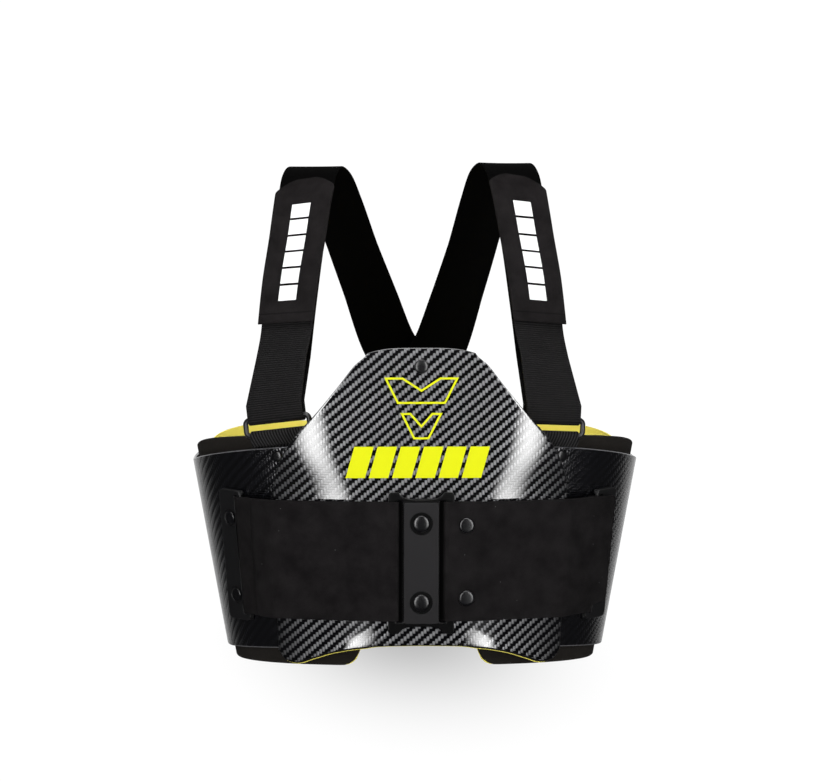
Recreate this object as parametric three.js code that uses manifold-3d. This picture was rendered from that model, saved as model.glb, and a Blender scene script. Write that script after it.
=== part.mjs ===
// Rib protector: carbon shells over foam pads, shoulder straps and a wide elastic closure.
// Millimetres. +Z is up, the front faces -Y, and +X is to the right of someone looking at the front.
// Heights are worked out from the pads' lower edge; the finished model hangs from its origin, which
// lies midway between the two straps at the height where they pass over the shoulders.
import * as THREE from 'three';
import { mergeVertices } from 'three/addons/utils/BufferGeometryUtils.js';
import Module from 'manifold-3d';

const wasm = await Module();
wasm.setup();

// Body section: a rounded oval that widens towards the top
const SECTION_POWER = 2.4;
const HALF_WIDTH_LOW = 158.3;
const HALF_WIDTH_RISE = 0.185;
const HALF_DEPTH_LOW = 108;
const HALF_DEPTH_RISE = 0.1;
const SECTION_HEIGHT = 100;
const SECTION_SAMPLES = 600;

// Layers, measured outwards from the inner face of the shells
const SHELL_THICK = 2.5;
const PAD_GAP = 3.2;
const PAD_THICK = 12;
const SKIN_GAP = 0.3;
const BEND_SLACK = 0.1;
const LINING_THICK = 1.2;
const PAD_ROUND = 4;

// Side shells and pads
const SHELL_TOP_SIDE = 171.5;
const SHELL_TOP_RISE = 20.5;
const SHELL_LOW_SIDE = 10.5;
const SHELL_LOW_RISE = 8;
const PAD_TOP_SIDE = 185;
const PAD_TOP_RISE = 12;
const PAD_FRONT = 56;
const SHELL_FRONT = 66;
const BACK_GAP = 3;
const FRONT_CORNER = 18;
const SIDE_STEPS = 19;
const SIDE_SOFTNESS = 0.12;

// Chest plate
const PLATE_THICK = 2.5;
const CHEST_DEPTH = 131.8;
const CHEST_DEPTH_RISE = 0.06;
const WING_SLOPE = 0.35;
const WING_BLEND = 30;
const CREASE_LOW = 25;
const CREASE_FOOT = 16;
const CREASE_RISE = 0.345;
const CHEST_PAD_THICK = 6;
const CHEST_PAD_MIDDLE = 7;
const MIDDLE_PAD_FLAT = 36;
const MIDDLE_PAD_HALF = 48;
const CHEST_PAD_LIP = 3.5;
const LIP_SIDE_SHARE = 0.3;
const CHEST_PAD_EDGE = 1.5;
const PLATE_HALF = 123.4;
const PLATE_TOP = 272.5;
const PLATE_TOP_DROP = 4.5;
const PLATE_ARCH = 20.6;

// Chest plate's outline: half widths as shares of the widest at heights that are shares of the top's, and
// heights of its lower edge as shares of the arch, across the half width
const PLATE_SIDE = [
  { up: 0.015, half: 0.956 },
  { up: 0.147, half: 0.969 },
  { up: 0.521, half: 1 },
  { up: 0.58, half: 0.9935 },
  { up: 0.6385, half: 0.963 },
  { up: 0.6825, half: 0.916 },
  { up: 0.734, half: 0.8395 },
  { up: 0.789, half: 0.729 },
  { up: 0.89, half: 0.547 },
  { up: 0.9485, half: 0.446 },
  { up: 0.9835, half: 0.365 },
  { up: 1.0055, half: 0.3565 },
];
const PLATE_LOWER = [
  { across: 0, rise: 1 },
  { across: 0.2, rise: 0.98 },
  { across: 0.44, rise: 0.8835 },
  { across: 0.61, rise: 0.704 },
  { across: 0.76, rise: 0.4175 },
  { across: 0.88, rise: 0.194 },
  { across: 0.95, rise: 0.272 },
  { across: 1, rise: 0.68 },
];

// Bridge and bands
const BAND_LOW = 44.5;
const BAND_HIGH = 144.8;
const BAND_THICK = 2;
const BAND_SLACK = 0.2;
const BAND_TUCK = 0.6;
const BAND_TURN_BACK = 6;
const BAND_MIDDLE = (BAND_LOW + BAND_HIGH) / 2;
const BAND_ROWS = [BAND_LOW, BAND_MIDDLE, BAND_HIGH];
const BRIDGE_HALF = 27.5;
const BRIDGE_TALL = 119;
const BRIDGE_COLUMN = 14.6;
const BRIDGE_SLOT_IN = 15;
const BRIDGE_SLOT_OUT = 21.2;
const BRIDGE_SLOT_TALL = 103;
const BRIDGE_BASE = 0.4;
const BRIDGE_FRONT = 7;
const BAR_BACK = 3.3;
const BAR_FRONT = 6.3;
const BRIDGE_RIVET = 33.2;

// Brackets on the shells
const BRACKET_TALL = 113;
const BRACKET_RISE = 0.9;
const BRACKET_SLOT_TALL = 104;
const BRACKET_SLOT_RISE = 1.8;
const BRACKET_RIVET = 33.6;

// Straps
const STRAP_WIDE = 50;
const STRAP_THICK = 2;
const STRAP_RIVET_HEIGHT = 207;
const STRAP_TAIL = 10;
const STRAP_LOW = STRAP_RIVET_HEIGHT - STRAP_TAIL;
const STRAP_END_ACROSS = 8;
const STRAP_SEAT = 0.7;
const STRAPS_APART = 0.5;
const LOOP_RISE = 12;
const TAB_WIDE = 54;
const TAB_THICK = 2.5;
const TAB_CORNER = 18;
const TAB_LAYER_GAP = 0.4;

// Rings and anchors
const RING_LONG = 62;
const RING_TALL = 18;
const RING_WIRE = 4.5;
const RING_SIDES = 6;
const RING_CORNER = 4;
const RING_BEND_STEPS = 3;
const RING_OFFSET = 2.8;
const ANCHOR_WIDE = 49;
const ANCHOR_THICK = 1.5;
const ANCHOR_BEHIND = 0.9;
const ANCHOR_TAIL_LOW = 166;
const ANCHOR_TAIL_HIGH = 190;
const ANCHOR_END = 9;
const ANCHOR_RIVET_ACROSS = 119.5;
const ANCHOR_RIVET_HEIGHT = 180.5;

// Tabs, as shares of the strap's route
const TAB_FROM = 0.727;
const TAB_TO = 0.955;
const TAB_CORNER_SHARES = [0.005, 0.012, 0.022, 0.035];
const ROUTE_LENGTH = 600;

// Bracket, in its own frame
const BRACKET_ACROSS = 151;
const BRACKET_LEAN = 6.5;
const BRACKET_BACK = 12;
const BRACKET_FRONT = 14;
const BRACKET_CORNER = 4;
const BRACKET_BASE = 3;
const BRACKET_TOP = 7.6;
const BRACKET_SLOT_FROM = 6.4;
const BRACKET_SLOT_TO = 10.6;
const BRACKET_BAR_BACK = 5;
const RIGHT_END = 5.8;
const LEFT_END_SHARE = 0.6;

// Band ends on the right, as distances from the middle
const FLAP_END = 50;
const UNDER_END = 58;
const BAND_RIVET_ACROSS = 37.5;
const BAND_RIVET_RISE = 30.5;
const RIVETED_END = 46;
const RIVETED_LIFT = 6.6;

// Bridge and chest rivet heights
const BRIDGE_HEIGHT = 93.5;
const BRIDGE_SLOT_RISE = 1.2;
const BRIDGE_DIP = 6;
const BRIDGE_CORNER = 3;
const BRIDGE_SHOULDER = 4;
const BRIDGE_RECESS = 9.5;
const RECESS_DEEP = 0.8;
const BORE_LONG = 40;
const CHEST_RIVET_HEIGHT = 257;

// Back plate and rivets
const BACK_PLATE_THICK = 2.5;
const BACK_ABOVE_RIVETS = 15;
const BACK_TOP = STRAP_RIVET_HEIGHT + BACK_ABOVE_RIVETS;
const BACK_HALF = 52;
const BACK_RIVET_ACROSS = 30;
const RIVET_HOLE = 2.6;
const RIVET_SHANK = 2.2;
const RIVET_TAIL = 3.6;
const RIVET_HEAD_TALL = 1.8;
const RIVET_TAIL_TALL = 1;
const RIVET_SIDES = 8;
const TAIL_ROOM = 0.6;
const TAIL_DEPTH_ROOM = 0.5;
const FACET_SLACK = 0.6;
const BACK_RIVET_HEIGHTS = { upper: 165, lower: 60 };
const STRAP_RIVET_APART = 26;

// Radii of the rivets' heads
const CHEST_HEAD = 6;
const BRIDGE_HEAD = 7;
const BAND_HEAD = 6.5;
const BRACKET_HEAD = 5.5;
const SMALL_HEAD = 5;

// Height at which the straps pass over the shoulders
const SHOULDER_HEIGHT = 423;

const UP = new THREE.Vector3(0, 0, 1);

const colours = {
  carbon: 0x26272b,
  foam: 0x141416,
  yellow: 0xe3df1c,
  elastic: 0x1b1b1e,
  felt: 0x131315,
  plastic: 0x202124,
  rivet: 0x17181a,
};

const model = new THREE.Group();
const vest = new THREE.Group();
vest.position.z = -SHOULDER_HEIGHT;
model.add(vest);

function addMesh(name, geometry, colour, roughness) {
  const material = new THREE.MeshStandardMaterial({ color: colour, roughness, metalness: 0 });
  const mesh = new THREE.Mesh(geometry, material);
  mesh.name = name;
  vest.add(mesh);
  return mesh;
}

function blend(from, to, share) {
  return from + (to - from) * share;
}

function smoothShare(value, from, to) {
  const share = Math.min(1, Math.max(0, (value - from) / (to - from)));
  return share * share * (3 - 2 * share);
}

// Straight-line value of one column of a table, looked up in another
function lookUp(table, keyName, valueName, key) {
  const last = table.length - 1;
  if (key <= table[0][keyName]) {
    return table[0][valueName];
  }
  for (let row = 1; row <= last; row += 1) {
    const low = table[row - 1];
    const high = table[row];
    if (key <= high[keyName]) {
      return blend(low[valueName], high[valueName], (key - low[keyName]) / (high[keyName] - low[keyName]));
    }
  }
  return table[last][valueName];
}

// Closed solid between two grids of points that have the same rows and columns
function solidBetween(front, back) {
  const rows = front.length;
  const columns = front[0].length;
  const positions = [];
  const faces = [];
  for (const grid of [front, back]) {
    for (const row of grid) {
      for (const point of row) {
        positions.push(point.x, point.y, point.z);
      }
    }
  }
  const at = (layer, row, column) => layer * rows * columns + row * columns + column;
  const quad = (a, b, c, d) => faces.push(a, b, c, a, c, d);
  for (let row = 0; row < rows - 1; row += 1) {
    for (let column = 0; column < columns - 1; column += 1) {
      quad(at(0, row, column), at(0, row, column + 1), at(0, row + 1, column + 1), at(0, row + 1, column));
      quad(at(1, row, column), at(1, row + 1, column), at(1, row + 1, column + 1), at(1, row, column + 1));
    }
  }
  for (let column = 0; column < columns - 1; column += 1) {
    quad(at(0, 0, column), at(1, 0, column), at(1, 0, column + 1), at(0, 0, column + 1));
    const top = rows - 1;
    quad(at(0, top, column), at(0, top, column + 1), at(1, top, column + 1), at(1, top, column));
  }
  for (let row = 0; row < rows - 1; row += 1) {
    quad(at(0, row, 0), at(0, row + 1, 0), at(1, row + 1, 0), at(1, row, 0));
    const end = columns - 1;
    quad(at(0, row, end), at(1, row, end), at(1, row + 1, end), at(0, row + 1, end));
  }
  return facingOut(geometryFrom(positions, faces));
}

function geometryFrom(positions, faces) {
  const geometry = new THREE.BufferGeometry();
  geometry.setAttribute('position', new THREE.Float32BufferAttribute(positions, 3));
  geometry.setIndex(faces);
  return geometry;
}

function signedVolume(geometry) {
  const place = geometry.getAttribute('position');
  const index = geometry.getIndex();
  const corners = [new THREE.Vector3(), new THREE.Vector3(), new THREE.Vector3()];
  let total = 0;
  for (let start = 0; start < index.count; start += 3) {
    corners.forEach((corner, offset) => corner.fromBufferAttribute(place, index.getX(start + offset)));
    total += corners[0].dot(corners[1].clone().cross(corners[2]));
  }
  return total / 6;
}

function facingOut(geometry) {
  if (signedVolume(geometry) < 0) {
    const faces = Array.from(geometry.getIndex().array);
    for (let start = 0; start < faces.length; start += 3) {
      [faces[start + 1], faces[start + 2]] = [faces[start + 2], faces[start + 1]];
    }
    geometry.setIndex(faces);
  }
  return geometry;
}

function merged(geometry) {
  const bare = geometry.clone();
  bare.deleteAttribute('normal');
  bare.deleteAttribute('uv');
  return facingOut(mergeVertices(bare, 1e-4));
}

function toSolid(geometry) {
  const clean = merged(geometry);
  return new wasm.Manifold(new wasm.Mesh({
    numProp: 3,
    vertProperties: new Float32Array(clean.getAttribute('position').array),
    triVerts: new Uint32Array(clean.getIndex().array),
  }));
}

function fromSolid(solid) {
  const mesh = solid.getMesh();
  return geometryFrom(Array.from(mesh.vertProperties), Array.from(mesh.triVerts));
}

function cutBy(geometry, cutters) {
  let solid = toSolid(geometry);
  for (const cutter of cutters) {
    solid = solid.subtract(toSolid(cutter));
  }
  return fromSolid(solid);
}

function joined(parts) {
  let solid = toSolid(parts[0]);
  for (const part of parts.slice(1)) {
    solid = solid.add(toSolid(part));
  }
  return fromSolid(solid);
}

// Angles of the body section by distance along it, from the middle of the front to the back
function halfWidthAt(height) {
  return HALF_WIDTH_LOW + HALF_WIDTH_RISE * height;
}

function halfDepthAt(height) {
  return HALF_DEPTH_LOW + HALF_DEPTH_RISE * height;
}

function sectionPoint(angle, height) {
  const across = Math.sin(angle);
  const along = -Math.cos(angle);
  const bend = 2 / SECTION_POWER;
  return new THREE.Vector3(
    halfWidthAt(height) * Math.sign(across) * Math.abs(across) ** bend,
    halfDepthAt(height) * Math.sign(along) * Math.abs(along) ** bend,
    height,
  );
}

const sectionRuns = [{ run: 0, angle: 0 }];
for (let sample = 1; sample <= SECTION_SAMPLES; sample += 1) {
  const angle = Math.PI * sample / SECTION_SAMPLES;
  const previous = sectionRuns[sample - 1];
  const step = sectionPoint(angle, SECTION_HEIGHT).distanceTo(sectionPoint(previous.angle, SECTION_HEIGHT));
  sectionRuns.push({ run: previous.run + step, angle });
}
const SECTION_RUN = sectionRuns[SECTION_SAMPLES].run;

function sectionNormal(run) {
  const reach = 1.5;
  const before = sectionPoint(lookUp(sectionRuns, 'run', 'angle', Math.max(0, run - reach)), SECTION_HEIGHT);
  const after = sectionPoint(
    lookUp(sectionRuns, 'run', 'angle', Math.min(SECTION_RUN, run + reach)),
    SECTION_HEIGHT,
  );
  const along = after.sub(before).normalize();
  return new THREE.Vector3(along.y, -along.x, 0).normalize();
}

// Point of a layer: side is 1 on the right and -1 on the left, run is measured from the front middle
function bodyPoint(side, run, height, offset) {
  const point = sectionPoint(lookUp(sectionRuns, 'run', 'angle', run), height);
  point.addScaledVector(sectionNormal(run), offset);
  point.x *= side;
  return point;
}

function bodyNormal(side, run) {
  const normal = sectionNormal(run);
  normal.x *= side;
  return normal;
}

// Run along the section at which the layer crosses a given distance from the middle
function runAtHalfWidth(across, height, offset) {
  let low = 0;
  let high = SECTION_RUN / 2;
  for (let round = 0; round < 40; round += 1) {
    const middle = (low + high) / 2;
    if (bodyPoint(1, middle, height, offset).x < across) {
      low = middle;
    } else {
      high = middle;
    }
  }
  return (low + high) / 2;
}

// 0 at the side of the body and 1 at the middle of the front and back, with a soft bend at the side
function forwardShare(run) {
  const point = sectionPoint(lookUp(sectionRuns, 'run', 'angle', run), SECTION_HEIGHT);
  const share = Math.abs(point.y) / halfDepthAt(SECTION_HEIGHT);
  return (Math.hypot(share, SIDE_SOFTNESS) - SIDE_SOFTNESS) / (Math.hypot(1, SIDE_SOFTNESS) - SIDE_SOFTNESS);
}

function cornerInset(distance, radius) {
  if (distance >= radius) {
    return 0;
  }
  return radius - Math.sqrt(radius * radius - (radius - distance) ** 2);
}

function shellTop(run) {
  return SHELL_TOP_SIDE + SHELL_TOP_RISE * forwardShare(run) ** 1.25;
}

function shellLow(run) {
  return SHELL_LOW_SIDE + SHELL_LOW_RISE * forwardShare(run) ** 1.3;
}

function padTop(run) {
  const share = forwardShare(run);
  const rise = PAD_TOP_RISE * (1 - (1 - share) ** 2);
  return PAD_TOP_SIDE + rise - cornerInset(run - PAD_FRONT, FRONT_CORNER);
}

function padLow(run) {
  return cornerInset(run - PAD_FRONT, FRONT_CORNER);
}

// The same runs serve every side layer, so that their facets lie parallel
function sideRuns(front) {
  const back = SECTION_RUN - BACK_GAP;
  const runs = [];
  for (const run of [PAD_FRONT, PAD_FRONT + 3, SHELL_FRONT]) {
    if (run >= front) {
      runs.push(run);
    }
  }
  for (let step = 1; step <= SIDE_STEPS; step += 1) {
    runs.push(blend(SHELL_FRONT, back, step / SIDE_STEPS));
  }
  return runs;
}

function sideLayer(side, runs, heights, innerOffset, outerOffset) {
  const grid = (offset) => runs.map((run, place) => heights(run).map((height, row) => {
    const shift = typeof offset === 'function' ? offset(row, place) : offset;
    return bodyPoint(side, run, height, shift);
  }));
  return solidBetween(grid(outerOffset), grid(innerOffset));
}

function sideShell(side) {
  const heights = (run) => [0, 1 / 3, 2 / 3, 1].map((share) => blend(shellLow(run), shellTop(run), share));
  return sideLayer(side, sideRuns(SHELL_FRONT), heights, 0, SHELL_THICK);
}

const PAD_OUT = -PAD_GAP;
const PAD_IN = -PAD_GAP - PAD_THICK;
const LINING_OUT = PAD_IN - SKIN_GAP;
const LINING_IN = LINING_OUT - LINING_THICK;

function sidePad(side) {
  const runs = sideRuns(PAD_FRONT);
  const heights = (run) => {
    const low = padLow(run);
    const top = padTop(run);
    return [low, low + PAD_ROUND, blend(low, top, 0.5), top - PAD_ROUND, top];
  };
  const lastRow = 4;
  const edgeShare = (row, place) => {
    const atEnd = place === 0 || place === runs.length - 1;
    return row === 0 || row === lastRow || atEnd ? 1 : 0;
  };
  const outer = (row, place) => PAD_OUT - PAD_ROUND * 0.6 * edgeShare(row, place);
  const inner = (row, place) => PAD_IN + PAD_ROUND * 0.6 * edgeShare(row, place);
  return sideLayer(side, runs, heights, inner, outer);
}

function sideLining(side) {
  const runs = sideRuns(PAD_FRONT);
  const heights = (run) => [0, 0.5, 1].map((share) => blend(padLow(run) + 1, padTop(run) - 1, share));
  return sideLayer(side, runs, heights, LINING_IN, LINING_OUT);
}

// Chest plate: a flat middle that narrows downwards and two wings that sweep back
function creaseAt(height) {
  return CREASE_LOW + CREASE_RISE * (height - CREASE_FOOT);
}

function wingDrop(across, height) {
  const past = Math.abs(across) - creaseAt(height);
  if (past <= -WING_BLEND) {
    return 0;
  }
  if (past >= WING_BLEND) {
    return WING_SLOPE * past;
  }
  return WING_SLOPE * (past + WING_BLEND) ** 2 / (4 * WING_BLEND);
}

function chestFront(across, height) {
  return -(CHEST_DEPTH + CHEST_DEPTH_RISE * height - wingDrop(across, height));
}

const PLATE_ACROSS = [0, 0.12, 0.28, 0.44, 0.6, 0.76, 0.88, 0.95, 1];
const PLATE_UP = [0, 0.05, 0.13, 0.29, 0.45, 0.56, 0.64, 0.72, 0.82, 0.91, 0.97, 1];

function plateHalf(height) {
  return PLATE_HALF * lookUp(PLATE_SIDE, 'up', 'half', height / PLATE_TOP);
}

function plateCell(share, up, margin) {
  const size = Math.abs(share);
  const sideMargin = margin * LIP_SIDE_SHARE;
  const low = PLATE_ARCH * lookUp(PLATE_LOWER, 'across', 'rise', size) - margin;
  const top = PLATE_TOP - PLATE_TOP_DROP * size ** 4 + sideMargin;
  const height = blend(low, top, up);
  return { across: share * (plateHalf(height) + sideMargin), height };
}

function chestGrid(margin, depthShift) {
  const shares = [...PLATE_ACROSS.slice(1).reverse().map((share) => -share), ...PLATE_ACROSS];
  return PLATE_UP.map((up, row) => shares.map((share, column) => {
    const { across, height } = plateCell(share, up, margin);
    const atRim = row === 0 || row === PLATE_UP.length - 1 || Math.abs(share) === 1;
    return new THREE.Vector3(across, chestFront(across, height) + depthShift(across, atRim), height);
  }));
}

const CHEST_PAD_FRONT = PLATE_THICK + SKIN_GAP;
const CHEST_PAD_BACK = CHEST_PAD_FRONT + CHEST_PAD_THICK;

function middlePad(across) {
  return CHEST_PAD_MIDDLE * (1 - smoothShare(Math.abs(across), MIDDLE_PAD_FLAT, MIDDLE_PAD_HALF));
}

function chestPlate() {
  return solidBetween(chestGrid(0, () => 0), chestGrid(0, () => PLATE_THICK));
}

function chestPad() {
  const front = chestGrid(CHEST_PAD_LIP, (across, atRim) => CHEST_PAD_FRONT + (atRim ? CHEST_PAD_EDGE : 0));
  const back = chestGrid(CHEST_PAD_LIP, (across, atRim) => {
    return CHEST_PAD_BACK + middlePad(across) - (atRim ? CHEST_PAD_EDGE : 0);
  });
  return solidBetween(front, back);
}

function chestLining() {
  const front = chestGrid(CHEST_PAD_LIP, (across) => CHEST_PAD_BACK + SKIN_GAP + middlePad(across));
  const back = chestGrid(CHEST_PAD_LIP, (across) => {
    return CHEST_PAD_BACK + SKIN_GAP + LINING_THICK + middlePad(across);
  });
  return solidBetween(front, back);
}

// Back plate: bridges the two shells and rises in the middle to carry the straps. Its outline holds half
// widths as shares of the widest at heights that are shares of the top's
const BACK_SIDE = [
  { up: 0.153, half: 0.808 },
  { up: 0.18, half: 0.9615 },
  { up: 0.54, half: 1 },
  { up: 0.856, half: 1 },
  { up: 0.955, half: 0.846 },
  { up: 1, half: 0.692 },
];

function backPlate() {
  const shares = [-1, -0.6, -0.2, 0.2, 0.6, 1];
  const grid = (offset) => BACK_SIDE.map(({ up, half }) => shares.map((share) => {
    const side = share < 0 ? -1 : 1;
    return bodyPoint(side, SECTION_RUN - Math.abs(share) * half * BACK_HALF, up * BACK_TOP, offset);
  }));
  const inner = SHELL_THICK + SKIN_GAP;
  return solidBetween(grid(inner + BACK_PLATE_THICK), grid(inner));
}

// Routes of the straps' middle lines from their shared lower end on the back plate to the rings: across as a
// share of the way to the ring's middle, depth as a share of the lower end's depth, rise as a share of the
// way up to the shoulders, and the turn about the vertical in degrees
const STRAP_ROUTES = {
  left: [
    { across: 0, depth: 1, rise: 0, yaw: 0 },
    { across: 0.0236, depth: 1.0277, rise: 0.1106, yaw: 0 },
    { across: 0.1024, depth: 1.0168, rise: 0.2124, yaw: 2 },
    { across: 0.2087, depth: 0.962, rise: 0.3053, yaw: 6 },
    { across: 0.3465, depth: 0.787, rise: 0.5088, yaw: 18 },
    { across: 0.4803, depth: 0.583, rise: 0.7035, yaw: 25 },
    { across: 0.5984, depth: 0.3644, rise: 0.885, yaw: 26 },
    { across: 0.6693, depth: 0.1895, rise: 0.9712, yaw: 26 },
    { across: 0.7362, depth: 0, rise: 1, yaw: 26 },
    { across: 0.7795, depth: -0.1603, rise: 0.9735, yaw: 26 },
    { across: 0.811, depth: -0.306, rise: 0.8982, yaw: 27 },
    { across: 0.8622, depth: -0.488, rise: 0.708, yaw: 29 },
    { across: 0.9094, depth: -0.627, rise: 0.5, yaw: 31 },
    { across: 0.9488, depth: -0.736, rise: 0.2876, yaw: 34 },
  ],
  right: [
    { across: 0, depth: 1, rise: 0, yaw: 0 },
    { across: 0.0196, depth: 1.0186, rise: 0.1106, yaw: 0 },
    { across: 0.098, depth: 0.9614, rise: 0.2124, yaw: -2 },
    { across: 0.201, depth: 0.898, rise: 0.3053, yaw: -6 },
    { across: 0.3333, depth: 0.75, rise: 0.5, yaw: -18 },
    { across: 0.4608, depth: 0.564, rise: 0.7035, yaw: -25 },
    { across: 0.5588, depth: 0.371, rise: 0.885, yaw: -26 },
    { across: 0.6225, depth: 0.193, rise: 0.9823, yaw: -26 },
    { across: 0.6863, depth: 0, rise: 1.0133, yaw: -26 },
    { across: 0.7304, depth: -0.163, rise: 0.9867, yaw: -26 },
    { across: 0.7647, depth: -0.312, rise: 0.9115, yaw: -27 },
    { across: 0.8284, depth: -0.49, rise: 0.708, yaw: -29 },
    { across: 0.8775, depth: -0.631, rise: 0.5, yaw: -31 },
    { across: 0.9216, depth: -0.742, rise: 0.2876, yaw: -34 },
  ],
};
const STRAP_SAMPLES = 28;

// Shares of the route: where the returned layer ends, where it opens towards the ring, and the tab's step
const RETURN_FROM = 0.915;
const TAB_CLEAR_SHARE = 0.004;
const OPEN_TO = 1.02;
const STEP_FROM = RETURN_FROM - 0.09;
const STEP_TO = RETURN_FROM - 0.01;

const RINGS = {
  left: { side: -1, across: 119, height: 206.5, tilt: 7 },
  right: { side: 1, across: 110, height: 204.5, tilt: 3 },
};

// The left strap lies over the right one on the back plate
const STRAP_LAYER = { left: 1, right: 0 };

function strapEnd(label) {
  const plateFace = halfDepthAt(STRAP_LOW) + SHELL_THICK + SKIN_GAP + BACK_PLATE_THICK;
  const layer = STRAP_LAYER[label] * (STRAP_THICK + STRAPS_APART);
  return new THREE.Vector3(STRAP_END_ACROSS, plateFace + STRAP_SEAT + STRAP_THICK / 2 + layer, STRAP_LOW);
}

function strapPoints(label) {
  const end = strapEnd(label);
  const ring = RINGS[label];
  return STRAP_ROUTES[label].map(({ across, depth, rise }) => new THREE.Vector3(
    blend(end.x, ring.side * ring.across, across),
    end.y * depth,
    blend(STRAP_LOW, SHOULDER_HEIGHT, rise),
  ));
}

function radians(degrees) {
  return degrees * Math.PI / 180;
}

// Frame of a ring: along its long bars, up, and outwards from the body
function ringFrame(label) {
  const ring = RINGS[label];
  const run = runAtHalfWidth(ring.across, ring.height, RING_OFFSET);
  const centre = bodyPoint(ring.side, run, ring.height, RING_OFFSET);
  const out = bodyNormal(ring.side, run);
  const level = new THREE.Vector3(-out.y, out.x, 0);
  const tilt = radians(ring.tilt) * -ring.side;
  const along = level.clone().multiplyScalar(Math.cos(tilt)).addScaledVector(UP, Math.sin(tilt));
  const up = out.clone().cross(along);
  if (up.z < 0) {
    up.negate();
  }
  return { run, side: ring.side, centre, along, up, out };
}

function inFrame(frame, along, up, out) {
  return frame.centre.clone()
    .addScaledVector(frame.along, along)
    .addScaledVector(frame.up, up)
    .addScaledVector(frame.out, out);
}

// Route stations of the main layer: centre, direction across the strap and outward normal
function strapStations(label) {
  const route = STRAP_ROUTES[label];
  const curve = new THREE.CatmullRomCurve3(strapPoints(label), false, 'centripetal');
  const corners = TAB_CORNER_SHARES.map((step) => TAB_FROM + step);
  const shares = new Set([RETURN_FROM, TAB_FROM, TAB_TO, ...corners]);
  for (let step = 0; step <= STRAP_SAMPLES; step += 1) {
    shares.add(step / STRAP_SAMPLES);
  }
  const stations = [];
  for (const share of [...shares].sort((first, second) => first - second)) {
    const centre = curve.getPoint(share);
    const place = share * (route.length - 1);
    const low = Math.min(Math.floor(place), route.length - 2);
    const yaw = radians(blend(route[low].yaw, route[low + 1].yaw, place - low));
    const tangent = curve.getTangent(share);
    const across = new THREE.Vector3(Math.cos(yaw), -Math.sin(yaw), 0);
    across.addScaledVector(tangent, -across.dot(tangent)).normalize();
    const out = tangent.clone().cross(across).normalize();
    stations.push({ share, centre, across, out });
  }
  return stations;
}

function ribbon(stations, width, thick) {
  const shares = [-0.5, 0.5];
  const grid = (offset) => stations.map(({ centre, across, out }) => shares.map((share) => {
    return centre.clone().addScaledVector(across, share * width).addScaledVector(out, offset);
  }));
  return solidBetween(grid(thick / 2), grid(-thick / 2));
}

// Outward side of the strap: away from the shoulder
function outwardSign(stations) {
  const top = stations.reduce((best, station) => (station.centre.z > best.centre.z ? station : best));
  return Math.sign(top.out.z);
}

function strapParts(label) {
  const stations = strapStations(label);
  const sign = outwardSign(stations);
  for (const station of stations) {
    station.out.multiplyScalar(sign);
  }
  const frame = ringFrame(label);
  const bar = RING_TALL / 2 - RING_WIRE / 2;
  const turn = RING_WIRE / 2 + SKIN_GAP + STRAP_THICK / 2 + BEND_SLACK;
  const loop = [];
  const across = frame.along.clone();
  if (across.dot(stations[stations.length - 1].across) < 0) {
    across.negate();
  }
  const addTurn = (out, up, face) => loop.push({
    centre: inFrame(frame, 0, bar + up, out),
    across,
    out: face,
  });
  addTurn(-turn, LOOP_RISE, frame.out);
  addTurn(-turn, 0, frame.out);
  for (const angle of [225, 270, 315]) {
    const out = Math.cos(radians(angle)) * turn;
    const up = Math.sin(radians(angle)) * turn;
    const face = frame.out.clone().multiplyScalar(-out / turn).addScaledVector(frame.up, -up / turn);
    addTurn(out, up, face);
  }
  addTurn(turn, 0, frame.out.clone().negate());
  addTurn(turn, LOOP_RISE, frame.out.clone().negate());
  const rising = stations.filter((station) => station.share >= RETURN_FROM).reverse();
  const back = rising.map((station) => {
    const opening = smoothShare(station.share, TAB_TO + TAB_CLEAR_SHARE, OPEN_TO);
    const gap = blend(STRAP_THICK + SKIN_GAP + BEND_SLACK, 2 * turn, opening);
    return {
      centre: station.centre.clone().addScaledVector(station.out, gap),
      across: station.across,
      out: station.out.clone().negate(),
    };
  });
  const strap = ribbon([...stations, ...loop, ...back], STRAP_WIDE, STRAP_THICK);
  return { strap, stations, frame };
}

// How far the strap's end leans back for each millimetre that it rises
function strapEndSlope(stations) {
  const above = stations.find((station) => station.centre.z > STRAP_RIVET_HEIGHT + 5);
  return (above.centre.y - stations[0].centre.y) / (above.centre.z - stations[0].centre.z);
}

// Hook-and-loop tab on the strap's front, its upper corners cut off
function strapTab(stations) {
  const chosen = stations.filter((station) => station.share >= TAB_FROM && station.share <= TAB_TO);
  const over = STRAP_THICK * 1.5 + SKIN_GAP * 2 + TAB_LAYER_GAP;
  const near = STRAP_THICK * 0.5 + SKIN_GAP + BEND_SLACK;
  const grid = (extra) => chosen.map((station) => {
    const depth = blend(near, over, smoothShare(station.share, STEP_FROM, STEP_TO));
    const half = TAB_WIDE / 2 - cornerInset((station.share - TAB_FROM) * ROUTE_LENGTH, TAB_CORNER);
    return [-1, 1].map((edge) => station.centre.clone()
      .addScaledVector(station.across, edge * half)
      .addScaledVector(station.out, depth + extra));
  });
  return solidBetween(grid(TAB_THICK), grid(0));
}

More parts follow.
